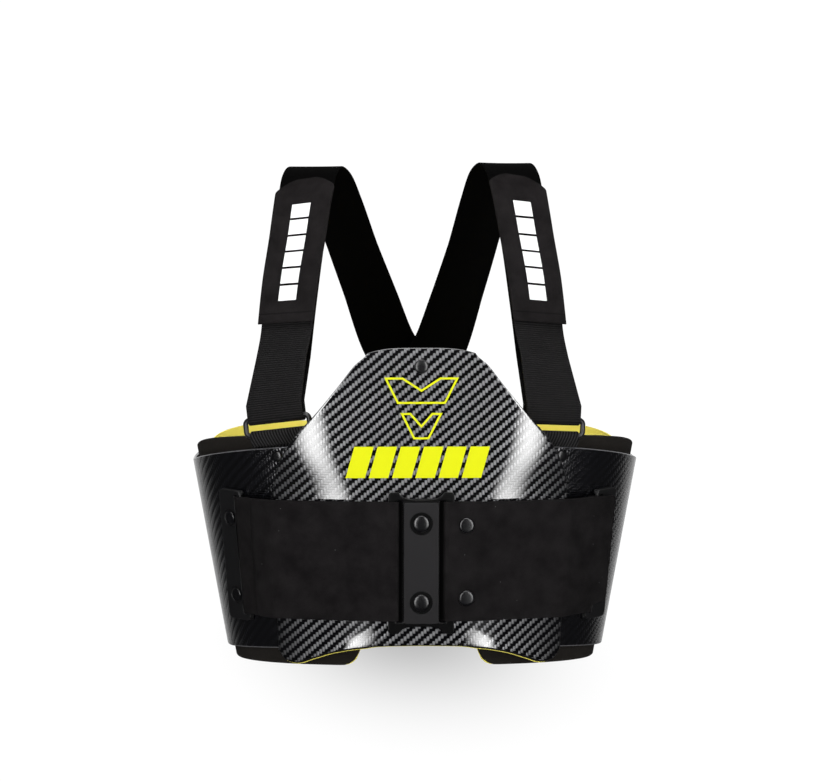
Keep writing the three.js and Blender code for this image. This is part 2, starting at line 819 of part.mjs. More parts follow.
// Rounded oval ring of round wire, in its own frame
function ringShape() {
  const points = [];
  const halfLong = (RING_LONG - RING_WIRE) / 2 - RING_CORNER;
  const halfTall = (RING_TALL - RING_WIRE) / 2 - RING_CORNER;
  for (const [x, y, start] of [[1, -1, -90], [1, 1, 0], [-1, 1, 90], [-1, -1, 180]]) {
    for (let step = 0; step <= RING_BEND_STEPS; step += 1) {
      const angle = radians(start + 90 * step / RING_BEND_STEPS);
      const out = new THREE.Vector3(Math.cos(angle), Math.sin(angle), 0);
      const centre = new THREE.Vector3(x * halfLong, y * halfTall, 0).addScaledVector(out, RING_CORNER);
      points.push({ centre, out });
    }
  }
  const positions = [];
  const faces = [];
  for (const { centre, out } of points) {
    for (let step = 0; step < RING_SIDES; step += 1) {
      const angle = 2 * Math.PI * (step + 0.5) / RING_SIDES;
      const point = centre.clone().addScaledVector(out, Math.cos(angle) * RING_WIRE / 2);
      positions.push(point.x, point.y, Math.sin(angle) * RING_WIRE / 2);
    }
  }
  for (let place = 0; place < points.length; place += 1) {
    const next = (place + 1) % points.length;
    for (let step = 0; step < RING_SIDES; step += 1) {
      const turn = (step + 1) % RING_SIDES;
      const a = place * RING_SIDES + step;
      const b = next * RING_SIDES + step;
      const c = next * RING_SIDES + turn;
      const d = place * RING_SIDES + turn;
      faces.push(a, b, c, a, c, d);
    }
  }
  return facingOut(geometryFrom(positions, faces));
}

// Webbing that is held behind the shell, goes up and hooks over the ring's lower bar
function anchorStrip(frame) {
  const bar = -(RING_TALL / 2 - RING_WIRE / 2);
  const turn = RING_WIRE / 2 + SKIN_GAP + ANCHOR_THICK / 2;
  const shares = [-0.5, -0.25, 0, 0.25, 0.5];
  const behind = -ANCHOR_BEHIND - ANCHOR_THICK / 2;
  const rows = [];
  for (const height of [ANCHOR_TAIL_LOW, (ANCHOR_TAIL_LOW + ANCHOR_TAIL_HIGH) / 2, ANCHOR_TAIL_HIGH]) {
    rows.push(shares.map((share) => {
      const run = frame.run + share * ANCHOR_WIDE;
      return { point: bodyPoint(frame.side, run, height, behind), out: bodyNormal(frame.side, run) };
    }));
  }
  const flat = (up, out, face) => {
    rows.push(shares.map((share) => ({
      point: inFrame(frame, share * ANCHOR_WIDE * frame.side * alongSign(frame), bar + up, out),
      out: face,
    })));
  };
  const facing = (up, out) => frame.up.clone().multiplyScalar(up).addScaledVector(frame.out, out).normalize();
  flat(0, -turn, frame.out.clone());
  for (const angle of [135, 90, 45, 0]) {
    const up = Math.sin(radians(angle));
    const out = Math.cos(radians(angle));
    flat(up * turn, out * turn, facing(-up, -out));
  }
  flat(-ANCHOR_END * 0.55, turn * 0.8, facing(0.1, -1));
  flat(-ANCHOR_END, turn * 0.35, facing(0.15, -1));
  const grid = (offset) => rows.map((row) => row.map(({ point, out }) => {
    return point.clone().addScaledVector(out, offset);
  }));
  return solidBetween(grid(ANCHOR_THICK / 2), grid(-ANCHOR_THICK / 2));
}

// Whether the run grows along the ring's own axis
function alongSign(frame) {
  const step = bodyPoint(frame.side, frame.run + 1, 200, 0).sub(bodyPoint(frame.side, frame.run, 200, 0));
  return Math.sign(step.dot(frame.along)) * frame.side;
}

// Bridge, in its own frame: x across, y up, z outwards from the plate
function bridgeShape() {
  const half = BRIDGE_HALF;
  const top = BRIDGE_TALL / 2;
  const dip = BRIDGE_DIP;
  const corner = BRIDGE_CORNER;
  const shoulder = BRIDGE_SLOT_IN + BRIDGE_SHOULDER;
  const outline = new THREE.Shape();
  outline.moveTo(half, -top + corner);
  outline.lineTo(half, top - corner);
  outline.lineTo(half - corner, top);
  outline.lineTo(shoulder, top);
  outline.quadraticCurveTo(BRIDGE_SLOT_IN, top - dip, 0, top - dip);
  outline.quadraticCurveTo(-BRIDGE_SLOT_IN, top - dip, -shoulder, top);
  outline.lineTo(-half + corner, top);
  outline.lineTo(-half, top - corner);
  outline.lineTo(-half, -top + corner);
  outline.lineTo(-half + corner, -top);
  outline.lineTo(-shoulder, -top);
  outline.quadraticCurveTo(-BRIDGE_SLOT_IN, -top + dip, 0, -top + dip);
  outline.quadraticCurveTo(BRIDGE_SLOT_IN, -top + dip, shoulder, -top);
  outline.lineTo(half - corner, -top);
  outline.closePath();
  const body = extruded(outline, BRIDGE_BASE, BAR_FRONT, 4);
  const cutters = [];
  for (const side of [-1, 1]) {
    const slotMiddle = side * (BRIDGE_SLOT_IN + BRIDGE_SLOT_OUT) / 2;
    const slotWide = BRIDGE_SLOT_OUT - BRIDGE_SLOT_IN;
    cutters.push(box(slotWide, BRIDGE_SLOT_TALL, BORE_LONG, slotMiddle, BRIDGE_SLOT_RISE, 0));
    const past = half + 2;
    const barMiddle = side * (BRIDGE_SLOT_IN + past) / 2;
    const underDeep = BORE_LONG / 2;
    const underLevel = BAR_BACK - underDeep / 2;
    const underWide = past - BRIDGE_SLOT_IN;
    cutters.push(box(underWide, BRIDGE_SLOT_TALL, underDeep, barMiddle, BRIDGE_SLOT_RISE, underLevel));
    cutters.push(drill(0, side * BRIDGE_RIVET, RIVET_HOLE, 8));
  }
  const columnDeep = BRIDGE_FRONT - BAR_BACK;
  const columnLevel = BRIDGE_FRONT - columnDeep / 2;
  const raised = box(BRIDGE_COLUMN * 2, BRIDGE_SLOT_TALL - 1, columnDeep, 0, 0, columnLevel);
  const recesses = [-1, 1].map((side) => {
    const disc = drill(0, side * BRIDGE_RIVET, BRIDGE_RECESS, 14);
    disc.translate(0, 0, BRIDGE_FRONT - RECESS_DEEP + BORE_LONG / 2);
    return disc;
  });
  return cutBy(joined([body, raised]), [...cutters, ...recesses]);
}

function extruded(shape, from, to, curveSegments) {
  const solid = new THREE.ExtrudeGeometry(shape, { depth: to - from, bevelEnabled: false, curveSegments });
  solid.translate(0, 0, from);
  return solid;
}

function box(wide, tall, deep, x, y, z) {
  const solid = new THREE.BoxGeometry(wide, tall, deep);
  solid.translate(x, y, z);
  return solid;
}

// Cylinder along z
function drill(x, y, radius, sides) {
  const solid = new THREE.CylinderGeometry(radius, radius, BORE_LONG, sides);
  solid.rotateX(Math.PI / 2);
  solid.translate(x, y, 0);
  return solid;
}

// Slotted bracket, in its own frame: x towards the front, y up, z outwards
function bracketShape() {
  const half = BRACKET_TALL / 2;
  const corner = BRACKET_CORNER;
  const outline = new THREE.Shape();
  outline.moveTo(-BRACKET_BACK + corner, -half);
  outline.lineTo(BRACKET_FRONT - corner, -half);
  outline.lineTo(BRACKET_FRONT, -half + corner);
  outline.lineTo(BRACKET_FRONT, half - corner);
  outline.lineTo(BRACKET_FRONT - corner, half);
  outline.lineTo(-BRACKET_BACK + corner, half);
  outline.lineTo(-BRACKET_BACK, half - corner);
  outline.lineTo(-BRACKET_BACK, -half + corner);
  outline.closePath();
  const body = extruded(outline, BRACKET_BASE, BRACKET_TOP, 1);
  body.translate(0, BRACKET_RISE, 0);
  const slotMiddle = (BRACKET_SLOT_FROM + BRACKET_SLOT_TO) / 2;
  const underDeep = BORE_LONG / 2;
  const underLevel = BRACKET_BAR_BACK - underDeep / 2;
  const past = BRACKET_FRONT + 2;
  const underMiddle = (BRACKET_SLOT_FROM + past) / 2;
  return cutBy(body, [
    box(BRACKET_SLOT_TO - BRACKET_SLOT_FROM, BRACKET_SLOT_TALL, BORE_LONG, slotMiddle, BRACKET_SLOT_RISE, 0),
    box(past - BRACKET_SLOT_FROM, BRACKET_SLOT_TALL, underDeep, underMiddle, BRACKET_SLOT_RISE, underLevel),
    drill(0, BRACKET_RIVET, RIVET_HOLE, 8),
    drill(0, -BRACKET_RIVET, RIVET_HOLE, 8),
  ]);
}

// Frame on the body's surface: towards the front, up along it, and straight out of it
function surfaceFrame(side, run, height) {
  const reach = 3;
  const centre = bodyPoint(side, run, height, 0);
  const up = bodyPoint(side, run, height + reach, 0).sub(bodyPoint(side, run, height - reach, 0)).normalize();
  const forward = bodyPoint(side, run - reach, height, 0).sub(bodyPoint(side, run + reach, height, 0));
  forward.addScaledVector(up, -forward.dot(up)).normalize();
  const out = forward.clone().cross(up).multiplyScalar(-side).normalize();
  if (out.dot(bodyNormal(side, run)) < 0) {
    out.negate();
  }
  return { side, run, centre, forward, up, out };
}

// A bracket stands a little steeper than the shell
function bracketFrame(side) {
  const frame = surfaceFrame(side, runAtHalfWidth(BRACKET_ACROSS, BAND_MIDDLE, 0), BAND_MIDDLE);
  const lean = radians(BRACKET_LEAN);
  const turned = (main, other, sign) => main.clone()
    .multiplyScalar(Math.cos(lean))
    .addScaledVector(other, sign * Math.sin(lean));
  const up = turned(frame.up, frame.forward, 1);
  const forward = turned(frame.forward, frame.up, -1);
  return { ...frame, up, forward };
}

function onBracket(frame, forward, height, out) {
  const rise = (height - BAND_MIDDLE) / frame.up.z;
  return frame.centre.clone()
    .addScaledVector(frame.forward, forward)
    .addScaledVector(frame.up, rise)
    .addScaledVector(frame.out, out);
}

// A band's route at one height, as points in plan, with its layers told by their distance outwards
function plateLine(side, height, lift, places) {
  const tilt = Math.hypot(1, WING_SLOPE);
  return places.map((across) => {
    const spread = wingDrop(across, height) > 0 ? tilt : 1;
    return new THREE.Vector2(side * across, chestFront(across, height) - lift * spread);
  });
}

function cornerLine(side, height, lift) {
  const half = plateHalf(height);
  const edge = chestFront(half, height);
  return [
    new THREE.Vector2(side * (half - 2), edge - lift * 1.06 - 0.7),
    new THREE.Vector2(side * (half + 0.35 * lift + 1), edge - lift * 0.95 + 0.8),
  ];
}

function bracketLine(frame, height, places) {
  return places.map(({ forward, out }) => {
    const point = onBracket(frame, forward, height, out);
    return new THREE.Vector2(point.x, point.y);
  });
}

function bridgeFold(side, height) {
  const front = chestFront(0, height);
  const middle = (BAR_BACK + BAR_FRONT) / 2;
  return barTurn((BAR_FRONT - BAR_BACK) / 2).map(({ ahead, rise }) => new THREE.Vector2(
    side * (BRIDGE_SLOT_OUT - ahead),
    front - middle - rise,
  ));
}

// Where the outer layer leaves the outer edge of the bridge's bar
function barPass(side, height) {
  return new THREE.Vector2(side * (BRIDGE_HALF + 1), chestFront(0, height) - FOLD_LIFT);
}

// Half a turn round the edge of a flat bar, from its back to its front
function barTurn(halfBar) {
  const turn = FOLD_GAP + BAND_THICK / 2;
  const places = [];
  for (const [corner, start] of [[-1, -90], [1, 0]]) {
    for (const step of [0, 45, 90]) {
      const angle = radians(start + step);
      places.push({ ahead: turn * Math.cos(angle), rise: corner * halfBar + turn * Math.sin(angle) });
    }
  }
  return places;
}

const FOLD_GAP = 0.45;
const FOLD_TURN = (BAR_FRONT - BAR_BACK) / 2 + FOLD_GAP + BAND_THICK / 2;
const INNER_LIFT = (BAR_BACK + BAR_FRONT) / 2 - FOLD_TURN;
const OUTER_LIFT = INNER_LIFT + BAND_THICK + SKIN_GAP + BAND_SLACK;
const FOLD_LIFT = (BAR_BACK + BAR_FRONT) / 2 + FOLD_TURN;

const BRACKET_BAR_MIDDLE = (BRACKET_BAR_BACK + BRACKET_TOP) / 2;
const BRACKET_TURN = (BRACKET_TOP - BRACKET_BAR_BACK) / 2 + FOLD_GAP + BAND_THICK / 2;
const BRACKET_OVER = BRACKET_BAR_MIDDLE + BRACKET_TURN + BAND_THICK + SKIN_GAP + BAND_SLACK;

// Round the bracket's bar, from its outer face through the slot to a short end behind it
function bracketFold() {
  const turn = barTurn((BRACKET_TOP - BRACKET_BAR_BACK) / 2).reverse().map(({ ahead, rise }) => ({
    forward: BRACKET_SLOT_TO - ahead,
    out: BRACKET_BAR_MIDDLE + rise,
  }));
  return [
    { forward: BRACKET_FRONT + 1, out: BRACKET_BAR_MIDDLE + BRACKET_TURN },
    ...turn,
    { forward: BRACKET_FRONT + BAND_TURN_BACK, out: BRACKET_BAR_MIDDLE - BRACKET_TURN - BAND_TUCK },
  ];
}

// Closed band from a route at several heights
function bandSolid(route) {
  const rows = BAND_ROWS.map((height) => {
    const line = route(height);
    return line.map((point, place) => {
      const before = line[Math.max(0, place - 1)];
      const after = line[Math.min(line.length - 1, place + 1)];
      const along = after.clone().sub(before).normalize();
      return { point, normal: new THREE.Vector2(-along.y, along.x), height };
    });
  });
  const grid = (offset) => rows.map((row) => row.map(({ point, normal, height }) => new THREE.Vector3(
    point.x + normal.x * offset,
    point.y + normal.y * offset,
    height,
  )));
  return solidBetween(grid(BAND_THICK / 2), grid(-BAND_THICK / 2));
}

// Places of the bands on the plate, from its side inwards, as shares of its half width
const PLACE_SHARES = [0.908, 0.81, 0.713, 0.616, 0.519, 0.421, 0.324, 0.243];
const PLATE_PLACES = PLACE_SHARES.map((share) => share * PLATE_HALF);
const PLACE_STEP = 10;
const PAST_BRIDGE = BRIDGE_HALF + 2.5;

// Those that lie clearly outside a distance from the middle
function placesPast(across) {
  return PLATE_PLACES.filter((place) => place > across + PLACE_STEP);
}

function leftBandRoute(height) {
  const frame = brackets.left;
  const [overBar] = bracketLine(frame, height, [{ forward: BRACKET_FRONT, out: BRACKET_OVER }]);
  const [edge, bend] = cornerLine(-1, height, OUTER_LIFT);
  return [
    bend.clone().lerp(overBar, LEFT_END_SHARE),
    bend,
    edge,
    ...plateLine(-1, height, OUTER_LIFT, placesPast(BRIDGE_HALF + PLACE_STEP)),
    barPass(-1, height),
    ...bridgeFold(-1, height).reverse(),
    ...plateLine(-1, height, INNER_LIFT, [...PLATE_PLACES].reverse()),
    ...cornerLine(-1, height, INNER_LIFT),
    ...bracketLine(frame, height, bracketFold()),
  ];
}

function rightBandRoute(height) {
  const frame = brackets.right;
  return [
    ...plateLine(1, height, INNER_LIFT, [FLAP_END, (FLAP_END + PAST_BRIDGE) / 2, PAST_BRIDGE]),
    ...bridgeFold(1, height),
    barPass(1, height),
    new THREE.Vector2(RIVETED_END, chestFront(0, height) - RIVETED_LIFT),
    ...plateLine(1, height, OUTER_LIFT, placesPast(RIVETED_END).reverse()),
    ...cornerLine(1, height, OUTER_LIFT),
    ...bracketLine(frame, height, [
      { forward: BRACKET_FRONT, out: BRACKET_OVER },
      { forward: BRACKET_SLOT_FROM, out: BRACKET_OVER },
      { forward: -RIGHT_END, out: BRACKET_OVER },
    ]),
  ];
}

function underBandRoute(height) {
  const frame = brackets.right;
  return [
    ...plateLine(1, height, INNER_LIFT, [UNDER_END, ...placesPast(UNDER_END).reverse()]),
    ...cornerLine(1, height, INNER_LIFT),
    ...bracketLine(frame, height, bracketFold()),
  ];
}

// Domed rivet along +Y: the head rests on level 0, the tail head lies below -grip
function rivetShape(headRadius, grip, plain) {
  const tail = -grip - SKIN_GAP;
  const shankEnd = [[RIVET_SHANK, -grip], [0, -grip]];
  const tailHead = [
    [RIVET_SHANK, tail],
    [RIVET_TAIL, tail],
    [RIVET_TAIL * 0.8, tail - RIVET_TAIL_TALL],
    [0, tail - RIVET_TAIL_TALL],
  ];
  const points = [
    [0, RIVET_HEAD_TALL],
    [headRadius * 0.6, RIVET_HEAD_TALL * 0.85],
    [headRadius, RIVET_HEAD_TALL * 0.3],
    [headRadius, 0],
    [RIVET_SHANK, 0],
    ...(plain ? shankEnd : tailHead),
  ];
  return new THREE.LatheGeometry(points.map(([x, y]) => new THREE.Vector2(x, y)), RIVET_SIDES);
}

function turnTo(direction) {
  return new THREE.Quaternion().setFromUnitVectors(new THREE.Vector3(0, 1, 0), direction.clone().normalize());
}

// A cylinder between two levels of a line through a point
function boreBetween(point, direction, from, to, radius) {
  const solid = new THREE.CylinderGeometry(radius, radius, to - from, 8);
  solid.translate(0, (from + to) / 2, 0);
  solid.applyQuaternion(turnTo(direction));
  solid.translate(point.x, point.y, point.z);
  return solid;
}

// Place on the outer layer of the right band, its normal, and the depth of the flap under it
function onRightBand(across, height) {
  const [low, high] = height < BAND_MIDDLE ? BAND_ROWS.slice(0, 2) : BAND_ROWS.slice(1);
  const upLine = rightBandRoute(high);
  const rise = (height - low) / (high - low);
  const line = rightBandRoute(low).map((point, place) => point.lerp(upLine[place], rise));
  const crossings = [];
  for (let place = 1; place < line.length; place += 1) {
    const from = line[place - 1];
    const to = line[place];
    if ((from.x - across) * (to.x - across) <= 0) {
      const share = (across - from.x) / (to.x - from.x);
      const point = from.clone().lerp(to, share);
      const above = upLine[place - 1].clone().lerp(upLine[place], share);
      crossings.push({ point, above, along: to.clone().sub(from) });
    }
  }
  const [flap, outer] = crossings;
  const along = new THREE.Vector3(outer.along.x, outer.along.y, 0);
  const climb = new THREE.Vector3(outer.above.x, outer.above.y, high)
    .sub(new THREE.Vector3(outer.point.x, outer.point.y, height));
  const normal = along.cross(climb).normalize();
  return {
    point: new THREE.Vector3(outer.point.x, outer.point.y, height),
    normal: normal.y > 0 ? normal.negate() : normal,
    depth: flap.point.distanceTo(outer.point),
  };
}

// Pieces
const pieces = new Map();
const bores = new Map();
const rivets = [];

function piece(name, geometry, colour, roughness) {
  pieces.set(name, { geometry, colour, roughness });
}

function bore(name, solid) {
  bores.set(name, [...(bores.get(name) ?? []), solid]);
}

// Rivet through the named sheets; base is the level of the head's underside, grip the stack under it
function addRivet({ name, point, direction, headRadius, grip, sheets, pockets = [], plain = false }) {
  rivets.push({ name, point, direction, headRadius, grip, plain });
  for (const sheet of sheets) {
    bore(sheet, boreBetween(point, direction, -grip - 1, 1, RIVET_HOLE));
  }
  for (const pocket of pockets) {
    const deep = grip + SKIN_GAP + RIVET_TAIL_TALL + TAIL_DEPTH_ROOM;
    bore(pocket, boreBetween(point, direction, -deep, 4, RIVET_TAIL + TAIL_ROOM));
  }
}

const brackets = { left: bracketFrame(-1), right: bracketFrame(1) };
const straps = { left: strapParts('left'), right: strapParts('right') };

piece('chest_plate', chestPlate(), colours.carbon, 0.25);
piece('chest_pad', chestPad(), colours.foam, 0.9);
piece('chest_lining', chestLining(), colours.yellow, 0.8);
piece('back_plate', backPlate(), colours.carbon, 0.25);
for (const [side, label] of [[-1, 'left'], [1, 'right']]) {
  const { strap, stations, frame } = straps[label];
  piece(`${label}_shell`, sideShell(side), colours.carbon, 0.25);
  piece(`${label}_pad`, sidePad(side), colours.foam, 0.9);
  piece(`${label}_lining`, sideLining(side), colours.yellow, 0.8);
  piece(`${label}_strap`, strap, colours.elastic, 0.85);
  piece(`${label}_tab`, strapTab(stations), colours.felt, 0.95);
  piece(`${label}_anchor`, anchorStrip(frame), colours.elastic, 0.8);
}
piece('left_band', bandSolid(leftBandRoute), colours.felt, 0.95);
piece('right_band', bandSolid(rightBandRoute), colours.felt, 0.95);
piece('right_band_under', bandSolid(underBandRoute), colours.felt, 0.95);

// Rivets
const chestOut = new THREE.Vector3(0, -1, -CHEST_DEPTH_RISE).normalize();
const plateUp = new THREE.Vector3(0, -CHEST_DEPTH_RISE, 1).normalize();

function onPlate(across, height, lift) {
  return new THREE.Vector3(across, chestFront(across, height), height).addScaledVector(chestOut, lift);
}

addRivet({
  name: 'chest_rivet',
  point: onPlate(0, CHEST_RIVET_HEIGHT, SKIN_GAP),
  direction: chestOut,
  headRadius: CHEST_HEAD,
  grip: PLATE_THICK + SKIN_GAP,
  sheets: ['chest_plate'],
  pockets: ['chest_pad'],
});
const bridgeCentre = onPlate(0, BRIDGE_HEIGHT, 0);
for (const [label, sign] of [['upper', 1], ['lower', -1]]) {
  const base = BRIDGE_FRONT - RECESS_DEEP + SKIN_GAP;
  const middle = bridgeCentre.clone().addScaledVector(plateUp, sign * BRIDGE_RIVET);
  addRivet({
    name: `bridge_rivet_${label}`,
    point: middle.addScaledVector(chestOut, base),
    direction: chestOut,
    headRadius: BRIDGE_HEAD,
    grip: base + PLATE_THICK,
    sheets: ['chest_plate'],
    pockets: ['chest_pad'],
  });
  const { point, normal, depth } = onRightBand(BAND_RIVET_ACROSS, BAND_MIDDLE + sign * BAND_RIVET_RISE);
  addRivet({
    name: `band_rivet_${label}`,
    point: point.addScaledVector(normal, BAND_THICK / 2 + SKIN_GAP),
    direction: normal,
    headRadius: BAND_HEAD,
    grip: depth + BAND_THICK / 2 + SKIN_GAP,
    sheets: ['right_band'],
    plain: true,
  });
}
const outerEnd = strapEnd('left');
const strapSlope = strapEndSlope(straps.left.stations);
const outerDepth = outerEnd.y + (STRAP_RIVET_HEIGHT - outerEnd.z) * strapSlope;
const strapEndDepth = outerDepth + STRAP_THICK / 2 + SKIN_GAP;
const strapEndGrip = strapEndDepth - halfDepthAt(STRAP_RIVET_HEIGHT) - SHELL_THICK - SKIN_GAP + FACET_SLACK;
for (const [side, label] of [[-1, 'left'], [1, 'right']]) {
  const bracket = brackets[label];
  for (const [place, rise] of [['upper', BRACKET_RIVET], ['lower', -BRACKET_RIVET]]) {
    const level = BRACKET_TOP + SKIN_GAP;
    addRivet({
      name: `${label}_bracket_rivet_${place}`,
      point: bracket.centre.clone().addScaledVector(bracket.up, rise).addScaledVector(bracket.out, level),
      direction: bracket.out,
      headRadius: BRACKET_HEAD,
      grip: level + FACET_SLACK,
      sheets: [`${label}_shell`],
      pockets: [`${label}_pad`],
    });
  }
  const anchorRun = runAtHalfWidth(ANCHOR_RIVET_ACROSS, ANCHOR_RIVET_HEIGHT, SHELL_THICK);
  const anchorPlace = surfaceFrame(side, anchorRun, ANCHOR_RIVET_HEIGHT);
  addRivet({
    name: `${label}_anchor_rivet`,
    point: anchorPlace.centre.clone().addScaledVector(anchorPlace.out, SHELL_THICK + SKIN_GAP),
    direction: anchorPlace.out,
    headRadius: SMALL_HEAD,
    grip: SHELL_THICK + SKIN_GAP + ANCHOR_BEHIND + ANCHOR_THICK,
    sheets: [`${label}_shell`, `${label}_anchor`],
    pockets: [`${label}_pad`],
  });
  for (const [place, height] of Object.entries(BACK_RIVET_HEIGHTS)) {
    const spot = surfaceFrame(side, SECTION_RUN - BACK_RIVET_ACROSS, height);
    const level = SHELL_THICK + SKIN_GAP + BACK_PLATE_THICK + SKIN_GAP;
    addRivet({
      name: `${label}_back_rivet_${place}`,
      point: spot.centre.clone().addScaledVector(spot.out, level),
      direction: spot.out,
      headRadius: SMALL_HEAD,
      grip: level + FACET_SLACK,
      sheets: ['back_plate', `${label}_shell`],
      pockets: [`${label}_pad`],
    });
  }
  addRivet({
    name: `${label}_strap_rivet`,
    point: new THREE.Vector3(outerEnd.x + side * STRAP_RIVET_APART / 2, strapEndDepth, STRAP_RIVET_HEIGHT),
    direction: new THREE.Vector3(0, 1, -strapSlope),
    headRadius: SMALL_HEAD,
    grip: strapEndGrip,
    sheets: ['left_strap', 'right_strap', 'back_plate'],
    pockets: [`${label}_shell`, `${label}_pad`],
  });
}

for (const [name, { geometry, colour, roughness }] of pieces) {
  const cuts = bores.get(name);
  addMesh(name, cuts ? cutBy(geometry, cuts) : geometry, colour, roughness);
}
for (const { name, point, direction, headRadius, grip, plain } of rivets) {
  const mesh = addMesh(name, merged(rivetShape(headRadius, grip, plain)), colours.rivet, 0.35);
  mesh.position.copy(point);
  mesh.quaternion.copy(turnTo(direction));
}

// Bridge, brackets and rings stand in frames of their own
function placeInFrame(mesh, xAxis, yAxis, zAxis, centre) {
  const matrix = new THREE.Matrix4().makeBasis(xAxis, yAxis, zAxis);
  mesh.quaternion.setFromRotationMatrix(matrix);
  mesh.position.copy(centre);
}

const bridge = addMesh('bridge', bridgeShape(), colours.plastic, 0.5);
placeInFrame(bridge, new THREE.Vector3(1, 0, 0), plateUp, chestOut, bridgeCentre);

for (const label of ['left', 'right']) {
  const frame = brackets[label];
  const bracket = addMesh(`${label}_bracket`, bracketShape(), colours.plastic, 0.5);
  if (label === 'left') {
    placeInFrame(bracket, frame.forward, frame.up, frame.out, frame.centre);
  } else {
    bracket.scale.x = -1;
    placeInFrame(bracket, frame.forward.clone().negate(), frame.up, frame.out, frame.centre);
  }
  const ring = addMesh(`${label}_ring`, ringShape(), colours.plastic, 0.4);
  const { centre, along, up, out } = straps[label].frame;
  const across = up.clone().cross(out);
  placeInFrame(ring, across, up, out, centre);
}

export default model;
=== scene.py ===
import math
from functools import lru_cache

import bpy
import numpy as np
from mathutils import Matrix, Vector


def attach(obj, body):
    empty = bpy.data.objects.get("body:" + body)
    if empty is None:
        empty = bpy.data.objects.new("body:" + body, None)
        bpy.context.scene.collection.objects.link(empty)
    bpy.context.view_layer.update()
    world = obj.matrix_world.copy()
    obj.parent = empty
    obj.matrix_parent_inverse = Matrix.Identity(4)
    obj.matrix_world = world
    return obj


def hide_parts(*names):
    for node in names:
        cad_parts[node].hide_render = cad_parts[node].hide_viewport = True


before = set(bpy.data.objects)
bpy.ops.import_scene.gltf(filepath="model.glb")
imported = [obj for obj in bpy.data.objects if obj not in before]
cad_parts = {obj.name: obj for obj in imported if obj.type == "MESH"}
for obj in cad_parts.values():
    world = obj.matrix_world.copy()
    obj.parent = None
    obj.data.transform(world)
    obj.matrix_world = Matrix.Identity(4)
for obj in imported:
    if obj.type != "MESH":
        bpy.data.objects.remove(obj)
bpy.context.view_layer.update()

MM = 0.001
SHOULDER_HEIGHT = 423.0
SIDES = ((-1, "left"), (1, "right"))
SPOTS = ((1, "upper"), (-1, "lower"))

# Body section: a rounded oval that widens towards the top
SECTION_POWER = 2.4
HALF_WIDTH_LOW = 158.3
HALF_WIDTH_RISE = 0.185
HALF_DEPTH_LOW = 108.0
HALF_DEPTH_RISE = 0.1
SECTION_HEIGHT = 100.0
SECTION_SAMPLES = 1200
NORMAL_REACH = 1.5
FRAME_REACH = 3.0

# Layers, measured outwards from the inner face of the shells
SHELL_THICK = 2.5
PAD_GAP = 3.2
PAD_THICK = 12.0
SKIN_GAP = 0.3
BEND_SLACK = 0.1
LINING_THICK = 1.2

# Side shells and pads
SHELL_TOP_SIDE = 171.5
SHELL_TOP_RISE = 20.5
SHELL_TOP_POWER = 1.25
SHELL_LOW_SIDE = 10.5
SHELL_LOW_RISE = 8.0
SHELL_LOW_POWER = 1.3
PAD_TOP_SIDE = 183.8
PAD_TOP_RISE = 13.2
PAD_FRONT = 56.0
SHELL_FRONT = 66.0
BACK_GAP = 3.0
FRONT_CORNER = 18.0
SIDE_SOFTNESS = 0.12

# Chest plate
PLATE_THICK = 2.5
CHEST_DEPTH = 131.8
CHEST_DEPTH_RISE = 0.06
WING_SLOPE = 0.35
WING_BLEND = 30.0
CREASE_LOW = 25.0
CREASE_FOOT = 16.0
CREASE_RISE = 0.345
CREASE_SHIFT = [
    (0.0, 13.0), (40.0, 12.0), (110.0, 0.0), (149.0, -3.8), (183.0, 0.0), (214.0, -3.6), (273.0, -5.0),
]
CHEST_PAD_THICK = 6.0
CHEST_PAD_MIDDLE = 7.0
MIDDLE_PAD_FLAT = 36.0
MIDDLE_PAD_HALF = 48.0
CHEST_PAD_LIP = 1.3
LINING_LIP = 2.2
LOW_EDGE_RISE = 2.4
PAD_LOW_RISE = 2.6
LIP_SIDE_SHARE = -0.8
PLATE_HALF = 123.4
PLATE_TOP = 272.5
PLATE_TOP_DROP = 4.5
PLATE_ARCH = 20.6
PLATE_SIDE = [
    (0.015, 0.956), (0.147, 0.969), (0.521, 1.0), (0.58, 0.9935), (0.6385, 0.963), (0.6825, 0.916),
    (0.734, 0.8395), (0.789, 0.729), (0.89, 0.547), (0.9485, 0.446), (0.9835, 0.365), (1.0055, 0.3565),
]
PLATE_LOWER = [
    (0.0, 1.0), (0.2, 0.98), (0.44, 0.8835), (0.61, 0.704), (0.76, 0.4175), (0.88, 0.194),
    (0.95, 0.272), (1.0, 0.68),
]

# Back plate
BACK_PLATE_THICK = 2.5
BACK_HALF = 52.0
BACK_TOP = 222.0
BACK_SIDE = [(0.153, 0.808), (0.18, 0.9615), (0.54, 1.0), (0.856, 1.0), (0.955, 0.846), (1.0, 0.692)]
BACK_RIVET_ACROSS = 30.0
BACK_RIVET_HEIGHTS = {"upper": 165.0, "lower": 60.0}

# Bridge and bands
BAND_LOW = 44.5
BAND_HIGH = 144.8
BAND_THICK = 2.0
BAND_SLACK = 0.2
BAND_TUCK = 0.6
BAND_TURN_BACK = 6.0
BAND_MIDDLE = (BAND_LOW + BAND_HIGH) / 2
BRIDGE_HALF = 27.5
BRIDGE_TALL = 119.0
BRIDGE_COLUMN = 14.6
BRIDGE_SLOT_IN = 15.0
BRIDGE_SLOT_OUT = 21.2
BRIDGE_SLOT_TALL = 103.0
BRIDGE_SLOT_RISE = 1.2
BRIDGE_BASE = 0.4
BRIDGE_FRONT = 7.0
BRIDGE_HEIGHT = 93.5
BRIDGE_DIP = 6.0
BRIDGE_CORNER = 3.0
BRIDGE_RECESS = 9.5
RECESS_DEEP = 0.8
BRIDGE_RIVET = 33.2
BAR_BACK = 3.3
BAR_FRONT = 6.3
BAR_SLACK = 0.3
PLATE_OVERLAP = 0.3
BRIDGE_FLOOR = (0.15, 0.65)
